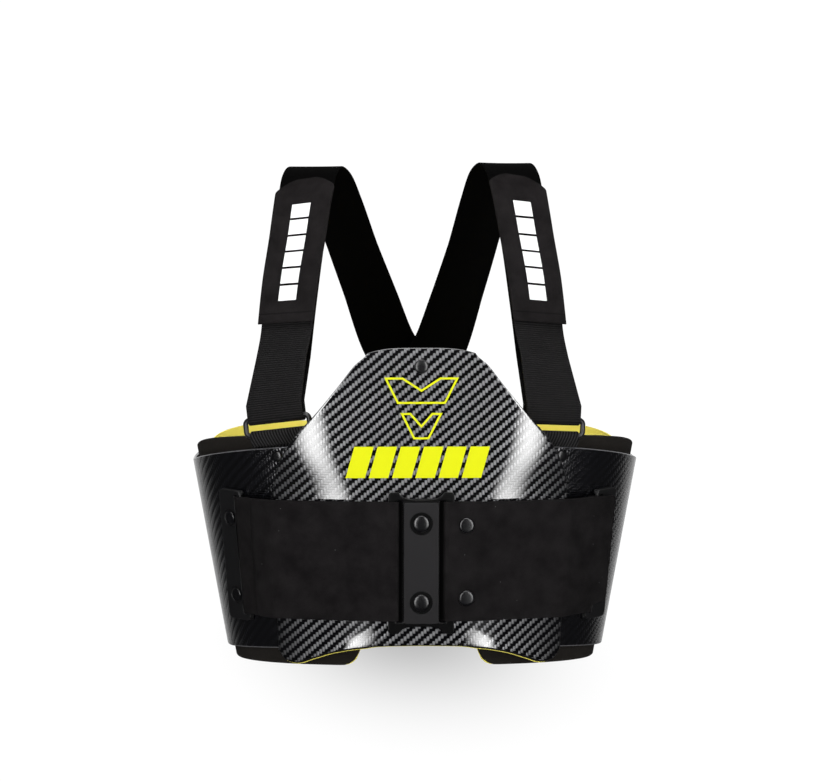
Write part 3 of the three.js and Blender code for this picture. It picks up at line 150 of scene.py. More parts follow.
BRIDGE_SHOULDER = 4.0
HOLLOW_STEPS = 10
HOLLOW_FLAT = 4
HOLLOW_ROUND = 0.8
BRIDGE_SLOT_ROUND = 2.0
BRIDGE_CAP_INSET = 0.6
BRIDGE_BASE_INSET = 0.2
COLUMN_SHORT = 1.0
COLUMN_ROUND = 2.5
FLOOR_ROUND = 0.5
FOLD_GAP = 0.45
FLAP_END = 50.0
UNDER_END = 58.0
BAND_RIVET_ACROSS = 37.5
BAND_RIVET_RISE = 30.5
RIVETED_END = 46.0
RIVETED_LIFT = 6.6
PLACE_SHARES = [0.908, 0.81, 0.713, 0.616, 0.519, 0.421, 0.324, 0.243]
PLATE_PLACES = [share * PLATE_HALF for share in PLACE_SHARES]
PLACE_STEP = 10.0
PAST_BRIDGE = BRIDGE_HALF + 2.5
CHEST_RIVET_HEIGHT = 257.0

# Brackets
BRACKET_TALL = 113.0
BRACKET_RISE = 0.9
BRACKET_SLOT_TALL = 104.0
BRACKET_SLOT_RISE = 1.8
BRACKET_RIVET = 33.6
BRACKET_ACROSS = 151.0
BRACKET_LEAN = 6.5
BRACKET_BACK = 12.0
BRACKET_FRONT = 14.0
BRACKET_BASE = 3.0
BRACKET_TOP = 7.6
BRACKET_SLOT_FROM = 6.4
BRACKET_SLOT_TO = 10.6
BRACKET_BAR_BACK = 5.0
BRACKET_CORNER = 4.0
BRACKET_DISH = 7.4
DISH_DEEP = 0.9
RIGHT_END = 5.8
LEFT_END_SHARE = 0.6

# Straps, tabs, rings and anchors
STRAP_WIDE = 50.0
STRAP_THICK = 2.0
STRAP_LOW = 197.0
STRAP_RIVET_HEIGHT = 207.0
STRAP_RIVET_APART = 26.0
STRAP_END_ACROSS = 8.0
STRAP_SEAT = 0.7
STRAPS_APART = 0.5
LOOP_RISE = 12.0
LOOP_STEPS = 12
TAB_WIDE = 54.0
TAB_THICK = 2.5
TAB_LAYER_GAP = 0.4
TAB_FROM = 0.727
TAB_TO = 0.955
ROUTE_LENGTH = 600.0
RETURN_FROM = 0.915
TAB_CLEAR_SHARE = 0.004
OPEN_TO = 1.02
STEP_FROM = RETURN_FROM - 0.09
STEP_TO = RETURN_FROM - 0.01
RING_LONG = 62.0
RING_TALL = 18.0
RING_WIRE = 4.5
RING_CORNER = 4.0
RING_OFFSET = 2.8
ANCHOR_WIDE = 49.0
ANCHOR_THICK = 1.5
ANCHOR_BEHIND = 0.9
ANCHOR_TAIL_LOW = 166.0
ANCHOR_TAIL_HIGH = 190.0
ANCHOR_END = 9.0
ANCHOR_RIVET_ACROSS = 119.5
ANCHOR_RIVET_HEIGHT = 180.5
RINGS = {
    "left": {"side": -1, "across": 119.0, "height": 206.5, "tilt": 7.0},
    "right": {"side": 1, "across": 110.0, "height": 204.5, "tilt": 3.0},
}
STRAP_LAYER = {"left": 1, "right": 0}

# Routes of the straps: across, depth and rise as shares, and the turn in degrees
STRAP_ROUTES = {
    "left": [
        (0.0, 1.0, 0.0, 0), (0.0236, 1.0277, 0.1106, 0), (0.1024, 1.0168, 0.2124, 2),
        (0.2087, 0.962, 0.3053, 6), (0.3465, 0.787, 0.5088, 18), (0.4803, 0.583, 0.7035, 25),
        (0.5984, 0.3644, 0.885, 26), (0.6693, 0.1895, 0.9712, 26), (0.7362, 0.0, 1.0, 26),
        (0.7795, -0.1603, 0.9735, 26), (0.811, -0.306, 0.8982, 27), (0.8622, -0.488, 0.708, 29),
        (0.9094, -0.627, 0.5, 31), (0.9488, -0.736, 0.2876, 34),
    ],
    "right": [
        (0.0, 1.0, 0.0, 0), (0.0196, 1.0186, 0.1106, 0), (0.098, 0.9614, 0.2124, -2),
        (0.201, 0.898, 0.3053, -6), (0.3333, 0.75, 0.5, -18), (0.4608, 0.564, 0.7035, -25),
        (0.5588, 0.371, 0.885, -26), (0.6225, 0.193, 0.9823, -26), (0.6863, 0.0, 1.0133, -26),
        (0.7304, -0.163, 0.9867, -26), (0.7647, -0.312, 0.9115, -27), (0.8284, -0.49, 0.708, -29),
        (0.8775, -0.631, 0.5, -31), (0.9216, -0.742, 0.2876, -34),
    ],
}

# Rivets
RIVET_HEAD_TALL = 1.8
RIVET_EDGE = 0.18
RIVET_FOOT = 0.97
RIVET_SHARP = 50
MOULDED_SHARP = 35
BEVEL_STEPS = 3
DOME_ROUND = 0.7
FLAT_ROUND = 0.35
SLOPE_REACH = 2.0
SLOPE_ABOVE = 5.0
HEADS = {"chest": 6.0, "bridge": 7.0, "band": 6.5, "bracket": 5.5, "small": 5.0}


def blend(first, second, share):
    return first + (second - first) * share


def smooth_share(value, first, second):
    share = min(1.0, max(0.0, (value - first) / (second - first)))
    return share * share * (3 - 2 * share)


def unit(vector):
    return vector / np.linalg.norm(vector)


def vec(x, y, z):
    return np.array([x, y, z], dtype=float)


def row_point(point):
    return (point[0] * MM, point[1] * MM, (point[2] - SHOULDER_HEIGHT) * MM)


def on_circle(x, y, radius, degrees):
    angle = math.radians(degrees)
    return (x + radius * math.cos(angle), y + radius * math.sin(angle))


def lengths_along(points):
    """Distance from the first point to each point, along the line through them."""
    return np.concatenate([[0.0], np.cumsum(np.linalg.norm(np.diff(points, axis=0), axis=1))])


def between(place, places, values):
    """Point at a place, from the points at places in rising order."""
    return np.array([np.interp(place, places, column) for column in values.T])


class Smooth:
    """A smooth curve through a table of keys and values that adds no bumps of its own."""

    def __init__(self, table):
        self.keys = np.array([row[0] for row in table], dtype=float)
        self.values = np.array([row[1] for row in table], dtype=float)
        steps = np.diff(self.keys)
        rises = np.diff(self.values) / steps
        slopes = np.zeros(len(self.keys))
        slopes[0] = rises[0]
        slopes[-1] = rises[-1]
        for place in range(1, len(self.keys) - 1):
            before = rises[place - 1]
            after = rises[place]
            if before * after > 0:
                first = 2 * steps[place] + steps[place - 1]
                second = steps[place] + 2 * steps[place - 1]
                slopes[place] = (first + second) / (first / before + second / after)
        self.slopes = slopes

    def __call__(self, key):
        key = min(max(key, self.keys[0]), self.keys[-1])
        place = min(int(np.searchsorted(self.keys, key, side="right")) - 1, len(self.keys) - 2)
        step = self.keys[place + 1] - self.keys[place]
        share = (key - self.keys[place]) / step
        low, high = self.values[place], self.values[place + 1]
        rise_low, rise_high = self.slopes[place] * step, self.slopes[place + 1] * step
        square = share * share
        cube = square * share
        return (
            low * (2 * cube - 3 * square + 1)
            + rise_low * (cube - 2 * square + share)
            + high * (3 * square - 2 * cube)
            + rise_high * (cube - square)
        )


plate_side = Smooth(PLATE_SIDE)
plate_lower = Smooth(PLATE_LOWER)
back_side = Smooth(BACK_SIDE)
crease_shift = Smooth(CREASE_SHIFT)


# Body section
def half_depth_at(height):
    return HALF_DEPTH_LOW + HALF_DEPTH_RISE * height


def section_point(angle, height):
    across = math.sin(angle)
    along = -math.cos(angle)
    bend = 2 / SECTION_POWER
    half_width = HALF_WIDTH_LOW + HALF_WIDTH_RISE * height
    return vec(
        half_width * math.copysign(abs(across) ** bend, across),
        half_depth_at(height) * math.copysign(abs(along) ** bend, along),
        height,
    )


RUN_ANGLES = [math.pi * sample / SECTION_SAMPLES for sample in range(SECTION_SAMPLES + 1)]
run_points = np.array([section_point(angle, SECTION_HEIGHT) for angle in RUN_ANGLES])
RUNS = lengths_along(run_points)
SECTION_RUN = float(RUNS[-1])


@lru_cache(maxsize=None)
def angle_at(run):
    return float(np.interp(run, RUNS, RUN_ANGLES))


@lru_cache(maxsize=None)
def section_normal(run):
    before = section_point(angle_at(max(0.0, run - NORMAL_REACH)), SECTION_HEIGHT)
    after = section_point(angle_at(min(SECTION_RUN, run + NORMAL_REACH)), SECTION_HEIGHT)
    along = unit(after - before)
    return unit(vec(along[1], -along[0], 0.0))


def body_point(side, run, height, offset):
    point = section_point(angle_at(run), height) + section_normal(run) * offset
    point[0] *= side
    return point


def body_normal(side, run):
    normal = section_normal(run).copy()
    normal[0] *= side
    return normal


def run_at_half_width(across, height, offset):
    low = 0.0
    high = SECTION_RUN / 2
    for _ in range(40):
        middle = (low + high) / 2
        if body_point(1, middle, height, offset)[0] < across:
            low = middle
        else:
            high = middle
    return (low + high) / 2


def forward_share(run):
    share = abs(section_point(angle_at(run), SECTION_HEIGHT)[1]) / half_depth_at(SECTION_HEIGHT)
    soft = SIDE_SOFTNESS
    return (math.hypot(share, soft) - soft) / (math.hypot(1, soft) - soft)


def corner_inset(distance, radius):
    if distance >= radius:
        return 0.0
    return radius - math.sqrt(max(0.0, radius * radius - (radius - distance) ** 2))


def shell_top(run):
    return SHELL_TOP_SIDE + SHELL_TOP_RISE * forward_share(run) ** SHELL_TOP_POWER


def shell_low(run):
    return SHELL_LOW_SIDE + SHELL_LOW_RISE * forward_share(run) ** SHELL_LOW_POWER


def pad_top(run):
    share = forward_share(run)
    rise = PAD_TOP_RISE * (1 - (1 - share) ** 2)
    return PAD_TOP_SIDE + rise - corner_inset(run - PAD_FRONT, FRONT_CORNER)


def pad_low(run):
    return PAD_LOW_RISE * forward_share(run) + corner_inset(run - PAD_FRONT, FRONT_CORNER)


# Chest plate
def past_crease(across, height):
    return abs(across) - (CREASE_LOW + CREASE_RISE * (height - CREASE_FOOT) + crease_shift(height))


def wing_drop(across, height):
    past = past_crease(across, height)
    if past <= -WING_BLEND:
        return 0.0
    if past >= WING_BLEND:
        return WING_SLOPE * past
    return WING_SLOPE * (past + WING_BLEND) ** 2 / (4 * WING_BLEND)


def chest_front(across, height):
    return -(CHEST_DEPTH + CHEST_DEPTH_RISE * height - wing_drop(across, height))


def plate_half(height):
    return PLATE_HALF * plate_side(height / PLATE_TOP)


def middle_pad(across):
    return CHEST_PAD_MIDDLE * (1 - smooth_share(abs(across), MIDDLE_PAD_FLAT, MIDDLE_PAD_HALF))


# Mesh building
def new_object(name, data):
    thing = bpy.data.objects.new(name, data)
    bpy.context.scene.collection.objects.link(thing)
    return thing


def new_piece(name, points, faces, material, cloth=None, edge=None, smooth=True):
    mesh = bpy.data.meshes.new(name)
    mesh.from_pydata([row_point(point) for point in points], [], faces)
    mesh.validate()
    if smooth:
        mesh.shade_smooth()
    for layer, kind, key, values in (
            ("cloth", "FLOAT_VECTOR", "vector", cloth), ("edge", "FLOAT", "value", edge)):
        if values is not None:
            data = mesh.attributes.new(layer, kind, "POINT").data
            data.foreach_set(key, np.array(values, dtype=np.float32).ravel())
    piece = new_object(name, mesh)
    mesh.materials.append(material)
    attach(piece, "root")
    return piece


def stand_for(piece, node):
    """Let the piece take the place of the part's node, which is hidden."""
    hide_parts(node)


def facing_out(points, faces):
    """Faces turned so that they look out of the solid that they close."""
    places = np.array(points, dtype=float)
    corners = np.array([
        (face[0], face[turn], face[turn + 1]) for face in faces for turn in range(1, len(face) - 1)
    ])
    first, second, third = (places[corners[:, number]] for number in range(3))
    if np.sum(first * np.cross(second, third)) < 0:
        return [tuple(reversed(face)) for face in faces]
    return faces


def grid_faces(rows, columns):
    """Faces of a closed solid between an outer and an inner grid of points."""
    faces = []

    def at(layer, row, column):
        return (layer * rows + row) * columns + column

    for row in range(rows - 1):
        for column in range(columns - 1):
            around = [(row, column), (row, column + 1), (row + 1, column + 1), (row + 1, column)]
            faces.append(tuple(at(0, *corner) for corner in around))
            faces.append(tuple(at(1, *corner) for corner in reversed(around)))
    rim = [(0, column) for column in range(columns)]
    rim += [(row, columns - 1) for row in range(1, rows)]
    rim += [(rows - 1, column) for column in range(columns - 2, -1, -1)]
    rim += [(row, 0) for row in range(rows - 2, 0, -1)]
    for place, corner in enumerate(rim):
        after = rim[(place + 1) % len(rim)]
        faces.append((at(0, *corner), at(1, *corner), at(1, *after), at(0, *after)))
    return faces


def on_both_grids(grid):
    return [value for _ in range(2) for row in grid for value in row]


def grid_solid(name, material, outer, inner, cloth, edge=None):
    """Closed solid between two grids of points that meet along their rims."""
    points = [point for grid in (outer, inner) for row in grid for point in row]
    faces = facing_out(points, grid_faces(len(outer), len(outer[0])))
    return new_piece(name, points, faces, material, on_both_grids(cloth), edge and on_both_grids(edge))


def grids(rows, columns, cell):
    """One grid for each of the values that cell gives for a row and a column."""
    cells = [[cell(row, column) for column in columns] for row in rows]
    return [[[values[number] for values in line] for line in cells] for number in range(len(cells[0][0]))]


def layered(name, material, rows, columns, cell):
    """Closed solid; cell gives an outer and an inner point, the cloth numbers and, if need be, the edge."""
    return grid_solid(name, material, *grids(rows, columns, cell))


def rim_half(distance, thick, radius):
    """Half the thickness at a distance from the rim, for an edge rounded by radius."""
    if distance >= radius:
        return thick / 2
    return thick / 2 - radius + math.sqrt(max(0.0, radius * radius - (radius - distance) ** 2))


def stops(length, radius, step, rim_steps=4):
    """Distances along a length, close together in the rounded rims at both ends."""
    near = [radius * (1 - math.cos(math.pi / 2 * place / rim_steps)) for place in range(rim_steps + 1)]
    count = max(2, round((length - 2 * radius) / step))
    middle = [radius + (length - 2 * radius) * place / count for place in range(1, count)]
    return near + middle + [length - value for value in reversed(near)]


# Materials
class Value:
    """A node's output; arithmetic with it adds math nodes."""

    def __init__(self, nodes, socket):
        self.nodes = nodes
        self.socket = socket

    def __add__(self, other):
        return self.nodes.math("ADD", self, other)

    def __sub__(self, other):
        return self.nodes.math("SUBTRACT", self, other)

    def __rsub__(self, other):
        return self.nodes.math("SUBTRACT", other, self)

    def __mul__(self, other):
        return self.nodes.math("MULTIPLY", self, other)

    def __truediv__(self, other):
        return self.nodes.math("DIVIDE", self, other)

    def __pow__(self, other):
        return self.nodes.math("POWER", self, other)

    __rmul__ = __mul__


class Nodes:
    """A material's node tree, with short calls for the nodes used here."""

    def __init__(self, name):
        self.material = bpy.data.materials.new(name)
        self.material.use_nodes = True
        self.tree = self.material.node_tree
        self.tree.nodes.clear()
        self.output = self.tree.nodes.new("ShaderNodeOutputMaterial")

    def put(self, socket, value):
        if isinstance(value, Value):
            self.tree.links.new(value.socket, socket)
        elif isinstance(value, tuple):
            socket.default_value = (*value, 1)
        else:
            socket.default_value = value

    def node(self, kind, output=0, settings=(), **sockets):
        """Output of a new node with these settings, and a value or a link for each named socket."""
        node = self.tree.nodes.new(f"ShaderNode{kind}")
        for name, value in settings:
            setattr(node, name, value)
        for name, value in sockets.items():
            self.put(node.inputs[name.replace("_", " ")], value)
        return Value(self, node.outputs[output])

    def math(self, operation, *values, clamp=False):
        node = self.tree.nodes.new("ShaderNodeMath")
        node.operation = operation
        node.use_clamp = clamp
        for socket, value in zip(node.inputs, values):
            self.put(socket, value)
        return Value(self, node.outputs[0])

    def mix(self, factor, first, second):
        return self.node("Mix", "Result", [("data_type", "RGBA")], Factor=factor, A=first, B=second)

    def blend(self, factor, first, second):
        return factor * second + (1.0 - factor) * first

    def attribute(self, name, output="Vector"):
        return self.node("Attribute", output, [("attribute_name", name)])

    def split(self, vector):
        parts = self.node("SeparateXYZ", Vector=vector).socket.node.outputs
        return [Value(self, part) for part in parts]

    def join(self, x, y):
        return self.node("CombineXYZ", X=x, Y=y)

    def noise(self, vector, scale, detail=2.0, roughness=0.5):
        return self.node("TexNoise", "Fac", Vector=vector, Scale=scale, Detail=detail, Roughness=roughness)

    def object_place(self):
        return self.node("TexCoord", "Object")

    def bump(self, height, strength, distance):
        return self.node("Bump", "Normal", Height=height, Strength=strength, Distance=distance)

    def finish(self, kind="BsdfPrincipled", **sockets):
        self.tree.links.new(self.node(kind, **sockets).socket, self.output.inputs[0])
        return self.material

    def fraction_hump(self, value):
        """1 in the middle of each unit step and 0 at its ends."""
        centred = self.math("FRACT", value) * 2.0 - 1.0
        return 1.0 - centred * centred


WARP_WIDE = 2.4
WEFT_TALL = 2.08
FULL_DULL = 0.92
RIB_PITCH = 1.9
THREAD_PITCH = 1.15
HEM_LINE = 0.5
HEM_RISE = 7.5


def carbon_material(name, warp, weft, rim, base_roughness, coat_roughness, coat_relief):
    """Clear-coated 2x2 twill. The cloth attribute holds millimetres across and along the tows, then a number:
    above 0 how far painted shade darkens the weave, below 0 how dull the coat is, and below -FULL_DULL both."""
    n = Nodes(name)
    cloth = n.attribute("cloth")
    x, y, shaded = n.split(cloth)
    wave = n.noise(cloth, 0.035, 1.0) - 0.5
    across = x / WARP_WIDE + wave * 0.8
    along = y / WEFT_TALL + wave * 0.5
    column = n.math("FLOOR", across)
    line = n.math("FLOOR", along)
    warp_on_top = n.math("LESS_THAN", n.math("FLOORED_MODULO", column - line, 4.0), 2.0)

    def crown(place):
        off = n.math("FLOORED_MODULO", place, 4.0) - 1.0
        return n.math("MAXIMUM", 1.0 - off * off, 0.0)

    warp_shape = n.fraction_hump(across) * crown(along - column + 1.0) ** 0.5
    weft_shape = n.fraction_hump(along) * crown(across - line - 2.0) ** 0.5
    height = n.blend(warp_on_top, weft_shape, warp_shape)
    fibres = n.noise(n.join(x * 9.0, y * 0.9), 1.0)
    fibres_weft = n.noise(n.join(x * 0.9, y * 9.0), 1.0)
    light_tow = n.mix(warp_shape ** 0.6 * n.blend(0.35, 1.0, fibres), weft, warp)
    dark_tow = n.mix(weft_shape * fibres_weft, (0.0015, 0.0015, 0.002), weft)
    colour = n.mix(warp_on_top, dark_tow, light_tow)
    colour = n.mix(n.noise(cloth, 0.02) * 0.25, colour, weft)
    # Painted shade: the weave is darkened towards the weft colour by the cloth number above 0 and by its part
    # below -FULL_DULL
    past_dull = shaded * -1.0 - FULL_DULL
    colour = n.mix(n.math("MAXIMUM", n.math("MAXIMUM", shaded, past_dull), 0.0), colour, weft)
    # The rim colour is painted on the rounded rims; on the shells it is a painted highlight
    return n.finish(
        Base_Color=n.mix(n.attribute("edge", "Fac"), colour, rim),
        Metallic=0.65,
        Specular_IOR_Level=n.blend(warp_on_top, 0.05, 0.5),
        Roughness=n.blend(warp_on_top, base_roughness + 0.12, base_roughness),
        Normal=n.bump(height, 0.5, 0.0003),
        Coat_Weight=n.math("MAXIMUM", n.math("MINIMUM", shaded, 0.0), -FULL_DULL) + 1.0,
        Coat_Roughness=coat_roughness,
        Coat_IOR=1.8,
        Coat_Normal=n.bump(height, coat_relief, 0.0003),
    )


def knit_material(name, low, high, pitch, relief, roughness, sheen):
    """Close knitted cloth, in the object's own coordinates."""
    n = Nodes(name)
    place = n.object_place()
    x, y, z = n.split(place)
    turn = 2 * math.pi / (pitch * MM)
    knit = n.math("SINE", z * turn) * n.math("SINE", (x + y) * turn)
    fuzz = n.noise(place, 900.0, 3.0, 0.6)
    broad = n.noise(place, 28.0, 3.0)
    return n.finish(
        Base_Color=n.mix(n.blend(0.5, fuzz, broad), low, high),
        Roughness=roughness,
        Specular_IOR_Level=0.08,
        Sheen_Weight=sheen,
        Sheen_Roughness=0.5,
        Normal=n.bump(knit * 0.5 + fuzz, relief, 0.0003),
    )


def felt_material(name, low, high, hem=None):
    """Brushed loop cloth: fine fuzz, broad brushed patches, and specks of lint or else a hem's line."""
    n = Nodes(name)
    place = n.object_place()
    fuzz = n.noise(place, 1500.0, 4.0, 0.7)
    brushed = n.noise(place, 60.0, 4.0, 0.6)
    shade = n.math("ADD", (fuzz - 0.5) * 1.6, (brushed - 0.5) * 2.2 + 0.5, clamp=True)
    colour = n.mix(shade, low, high)
    height = fuzz + brushed * 0.6
    if hem is None:
        specks = n.node("TexVoronoi", "Distance", Vector=place, Scale=80.0)
        colour = n.mix(n.math("LESS_THAN", specks, 0.035) * 0.35, colour, (0.12, 0.12, 0.12))
    else:
        down = n.split(n.attribute("cloth"))[1]
        seam = n.math("LESS_THAN", n.math("ABSOLUTE", down - hem), HEM_LINE)
        colour = n.mix(seam * 0.4, colour, (0.0005, 0.0005, 0.0005))
        height = height - seam * 2.0
    return n.finish(
        Base_Color=colour,
        Roughness=0.95,
        Specular_IOR_Level=0.05,
        Sheen_Weight=0.0,
        Sheen_Roughness=0.6,
        Normal=n.bump(height, 0.5, 0.0004),
    )


def elastic_material(name):
    """Strap elastic: cross ribs where the cloth's third number is 1, brushed loops where it is 0."""
    n = Nodes(name)
    x, y, ribbed = n.split(n.attribute("cloth"))
    fuzz = n.noise(n.object_place(), 1300.0, 4.0, 0.7)
    ribs = y / RIB_PITCH
    thread = n.fraction_hump(x / THREAD_PITCH + n.math("FLOOR", ribs) * 0.5)
    worn = n.noise(n.join(x * 0.35, y * 0.06), 1.0, 3.0)
    woven = n.fraction_hump(ribs) ** 1.4 * n.blend(0.45, 1.0, thread)
    light = n.mix(woven * n.blend(0.6, 1.0, worn), (0.0002, 0.0002, 0.0002), (0.016, 0.015, 0.0155))
    plush = n.mix(fuzz, (0.0004, 0.0004, 0.0004), (0.0014, 0.0014, 0.0014))
    return n.finish(
        Base_Color=n.mix(ribbed, plush, light),
        Roughness=n.blend(ribbed, 0.95, 0.75),
        Specular_IOR_Level=n.blend(ribbed, 0.03, 0.12),
        Normal=n.bump(n.blend(ribbed, fuzz * 0.7, woven * 1.2), 0.6, 0.0004),
    )


def webbing_material(name):
    """Narrow webbing with slanting ribs, by the cloth attribute in millimetres."""
    n = Nodes(name)
    x, y, _ = n.split(n.attribute("cloth"))
    ribs = n.fraction_hump(x / 2.6 + y / 7.0)
    woven = ribs ** 2.2 * n.blend(0.5, 1.0, n.fraction_hump(y / 1.2))
    return n.finish(
        Base_Color=n.mix(woven, (0.0002, 0.0002, 0.0002), (0.026, 0.0255, 0.026)),
        Roughness=0.75,
        Specular_IOR_Level=0.05,
        Normal=n.bump(woven, 0.7, 0.0005),
    )


def plastic_material(name, colour, roughness, grain, shine=0.5):
    """Moulded plastic with a fine grain and faint uneven gloss."""
    n = Nodes(name)
    place = n.object_place()
    broad = n.noise(place, 45.0, 3.0)
    return n.finish(
        Base_Color=n.mix(broad, tuple(0.75 * part for part in colour), colour),
        Roughness=broad * 0.12 + (roughness - 0.06),
        Specular_IOR_Level=shine,
        Normal=n.bump(n.noise(place, 2200.0), grain, 0.0002),
    )


def print_material(name, colour, roughness):
    n = Nodes(name)
    fine = n.noise(n.object_place(), 1400.0, 3.0)
    return n.finish(
        Base_Color=n.mix(fine, tuple(0.9 * part for part in colour), colour),
        Roughness=roughness,
        Specular_IOR_Level=0.1,
        Normal=n.bump(fine, 0.15, 0.0002),
    )


carbon = carbon_material(
    "carbon", (0.29, 0.29, 0.3), (0.003, 0.003, 0.0036), (0.008, 0.008, 0.009), 0.4, 0.06, 0.05)
# The shells' rim colour is a light grey: a painted highlight along their rounded rims
shell_carbon = carbon_material(
    "shell_carbon", (0.0042, 0.0044, 0.0075), (0.0024, 0.0024, 0.0042), (0.2, 0.2, 0.21), 0.42, 0.16, 0.5)
foam = knit_material("foam", (0.006, 0.0054, 0.0048), (0.018, 0.0158, 0.0138), 0.9, 0.5, 0.92, 0.0)
yellow = knit_material("yellow_lining", (0.9, 0.76, 0.11), (1.0, 0.92, 0.2), 1.1, 0.3, 0.85, 0.1)
felt = felt_material("felt", (0.0042, 0.0038, 0.004), (0.0098, 0.009, 0.0093))
tab_felt = felt_material(
    "tab_felt", (0.0058, 0.0052, 0.0053), (0.0125, 0.0112, 0.0115),
    hem=(TAB_TO - TAB_FROM) * ROUTE_LENGTH - HEM_RISE)
elastic = elastic_material("elastic")
webbing = webbing_material("webbing")
bridge_plastic = plastic_material("bridge_plastic", (0.0075, 0.007, 0.0078), 0.5, 0.25, 0.2)
frame_plastic = plastic_material("frame_plastic", (0.0012, 0.0012, 0.0013), 0.3, 0.1, 0.2)
bracket_plastic = plastic_material("bracket_plastic", (0.0045, 0.0045, 0.005), 0.45, 0.2)
ring_plastic = plastic_material("ring_plastic", (0.006, 0.006, 0.007), 0.38, 0.12)
rivet_paint = plastic_material("rivet_paint", (0.0028, 0.0028, 0.0034), 0.27, 0.05)
yellow_print = print_material("yellow_print", (0.58, 0.61, 0.003), 0.5)
white_print = print_material("white_print", (0.86, 0.86, 0.86), 0.7)


# Layers of the body
PLATE_RIM = 1.0
PAD_RIM = 2.0
LINING_RISE = 0.7
LINING_DROP = 1.1
LINING_RIM = 0.5
LINING_STEP = 5.0
PAD_BACK_DROP = 9.0
PAD_BACK_PAST = (-5.0, 30.0)
LINING_DIP = 1.5
LINING_DIP_PAST = 52.0
LINING_DIP_REACH = 40.0
CHEST_PAD_RIM = 2.8
EDGE_SHOWS = 0.9
# Painted shade on the chest plate's weave: at its sides, in its low corners and along its creases
SIDE_SHADE = 0.72
SIDE_SHADE_ACROSS = (84.0, 120.0)
GLOSS_TIP = 35.0
GLOSS_FALL = 0.58
GLOSS_ACROSS = 43.0
GLOSS_SOFT = 4.0
GLOSS_BACK = (60.0, 90.0)
# Painted shade in the chest plate's low outer corners
LOW_SHADE = 0.85
LOW_SHADE_ACROSS = (84.0, 122.0)
# Painted shade along the creases, under the glossy streaks
CREASE_SHADE = 0.85
CREASE_SHADE_PAST = 6.0
CREASE_SHADE_REACH = 11.0
FLARE = 2.3
FLARE_TALL = 17.0
FLARE_ACROSS = 70.0
FLARE_REACH = 27.0
CHEST_PAD_FRONT = PLATE_THICK + SKIN_GAP
CHEST_PAD_BACK = CHEST_PAD_FRONT + CHEST_PAD_THICK
PAD_OUT = -PAD_GAP
PAD_IN = -PAD_GAP - PAD_THICK
LINING_OUT = PAD_IN - SKIN_GAP
LINING_IN = LINING_OUT - LINING_THICK
SHELL_BACK = SECTION_RUN - BACK_GAP
GRID_STEP = 2.4
BACK_STEP = 3.0
SHELL_STEP = 2.8
CHEST_PAD_STEP = 4.0
PAD_STEP = 4.5


# Where the carbon's rim colour goes: a painted highlight on the shells, near-black on the plates
def at_edge(from_rim, radius):
    return 1.0 if from_rim < EDGE_SHOWS * radius else 0.0


def plate_cell(share, up, margin):
    size = abs(share)
    side_margin = margin * LIP_SIDE_SHARE
    low = PLATE_ARCH * plate_lower(size) + LOW_EDGE_RISE - margin
    top = PLATE_TOP - PLATE_TOP_DROP * size ** 4 + side_margin
    height = blend(low, top, up)
    return share * (plate_half(height) + side_margin), height


def low_flare(across, above_edge):
    """How far the lower edge bends forward, most on both sides of the middle."""
    sideways = math.exp(-((abs(across) - FLARE_ACROSS) / FLARE_REACH) ** 2)
    return FLARE * sideways * max(0.0, 1 - above_edge / FLARE_TALL) ** 2


def painted_weave_shade(across, height):
    """How far painted shade darkens the weave: at the plate's sides, and under the gloss along the creases.
    """
    at_side = SIDE_SHADE * smooth_share(abs(across), *SIDE_SHADE_ACROSS)
    past = (past_crease(across, height) - CREASE_SHADE_PAST) / CREASE_SHADE_REACH
    return max(at_side, CREASE_SHADE * math.exp(-past * past))


def painted_low_shade(across):
    """How far painted shade darkens the weave in the plate's dull low corners."""
    return LOW_SHADE * smooth_share(abs(across), *LOW_SHADE_ACROSS)


def plate_dullness(across, height):
    """How dull the coat is: full under the bridge, none in the glossy corners of the lower edge."""
    tip = GLOSS_TIP - GLOSS_FALL * abs(abs(across) - GLOSS_ACROSS)
    return smooth_share(height, tip, tip + GLOSS_SOFT) * (1 - smooth_share(height, *GLOSS_BACK))


def chest_layer(name, material, margin, thick, radius, step, front_of):
    """Layer of the chest plate's outline; front_of gives how far its middle lies behind the plate's face."""
    def cell(up_stop, across_stop):
        across, height = plate_cell(across_stop / PLATE_HALF - 1, up_stop / PLATE_TOP, margin)
        from_rim = min(across_stop, 2 * PLATE_HALF - across_stop, up_stop, PLATE_TOP - up_stop)
        half = rim_half(from_rim, thick, radius)
        middle = chest_front(across, height) + front_of(across) - low_flare(across, up_stop)
        along = math.copysign(math.hypot(across, wing_drop(across, height)), across)
        # Painted shade on the weave at the plate's sides, creases and low corners, blended with the coat's
        # dullness
        dark = blend(
            painted_weave_shade(across, height), -FULL_DULL - painted_low_shade(across), plate_dullness(across, height))
        return (
            vec(across, middle - half, height), vec(across, middle + half, height), (along, height, dark),
            at_edge(from_rim, radius),
        )

    return layered(
        name, material, stops(PLATE_TOP, radius, step), stops(2 * PLATE_HALF, radius, step), cell)


def side_layer(name, side, material, front, low_of, top_of, out, inside, radius, step):
    """Layer of a side shell between two distances from the body section."""
    tall = top_of(SECTION_RUN / 2) - low_of(SECTION_RUN / 2)
    middle = (out + inside) / 2

    def cell(run, up_stop):
        height = blend(low_of(run), top_of(run), up_stop / tall)
        from_rim = min(run - front, SHELL_BACK - run, up_stop, tall - up_stop)
        half = rim_half(from_rim, out - inside, radius)
        return (
            body_point(side, run, height, middle + half), body_point(side, run, height, middle - half),
            (side * run, height, 0.0), at_edge(from_rim, radius),
        )

    runs = [front + stop for stop in stops(SHELL_BACK - front, radius, step)]
    return layered(name, material, runs, stops(tall, radius, step), cell)


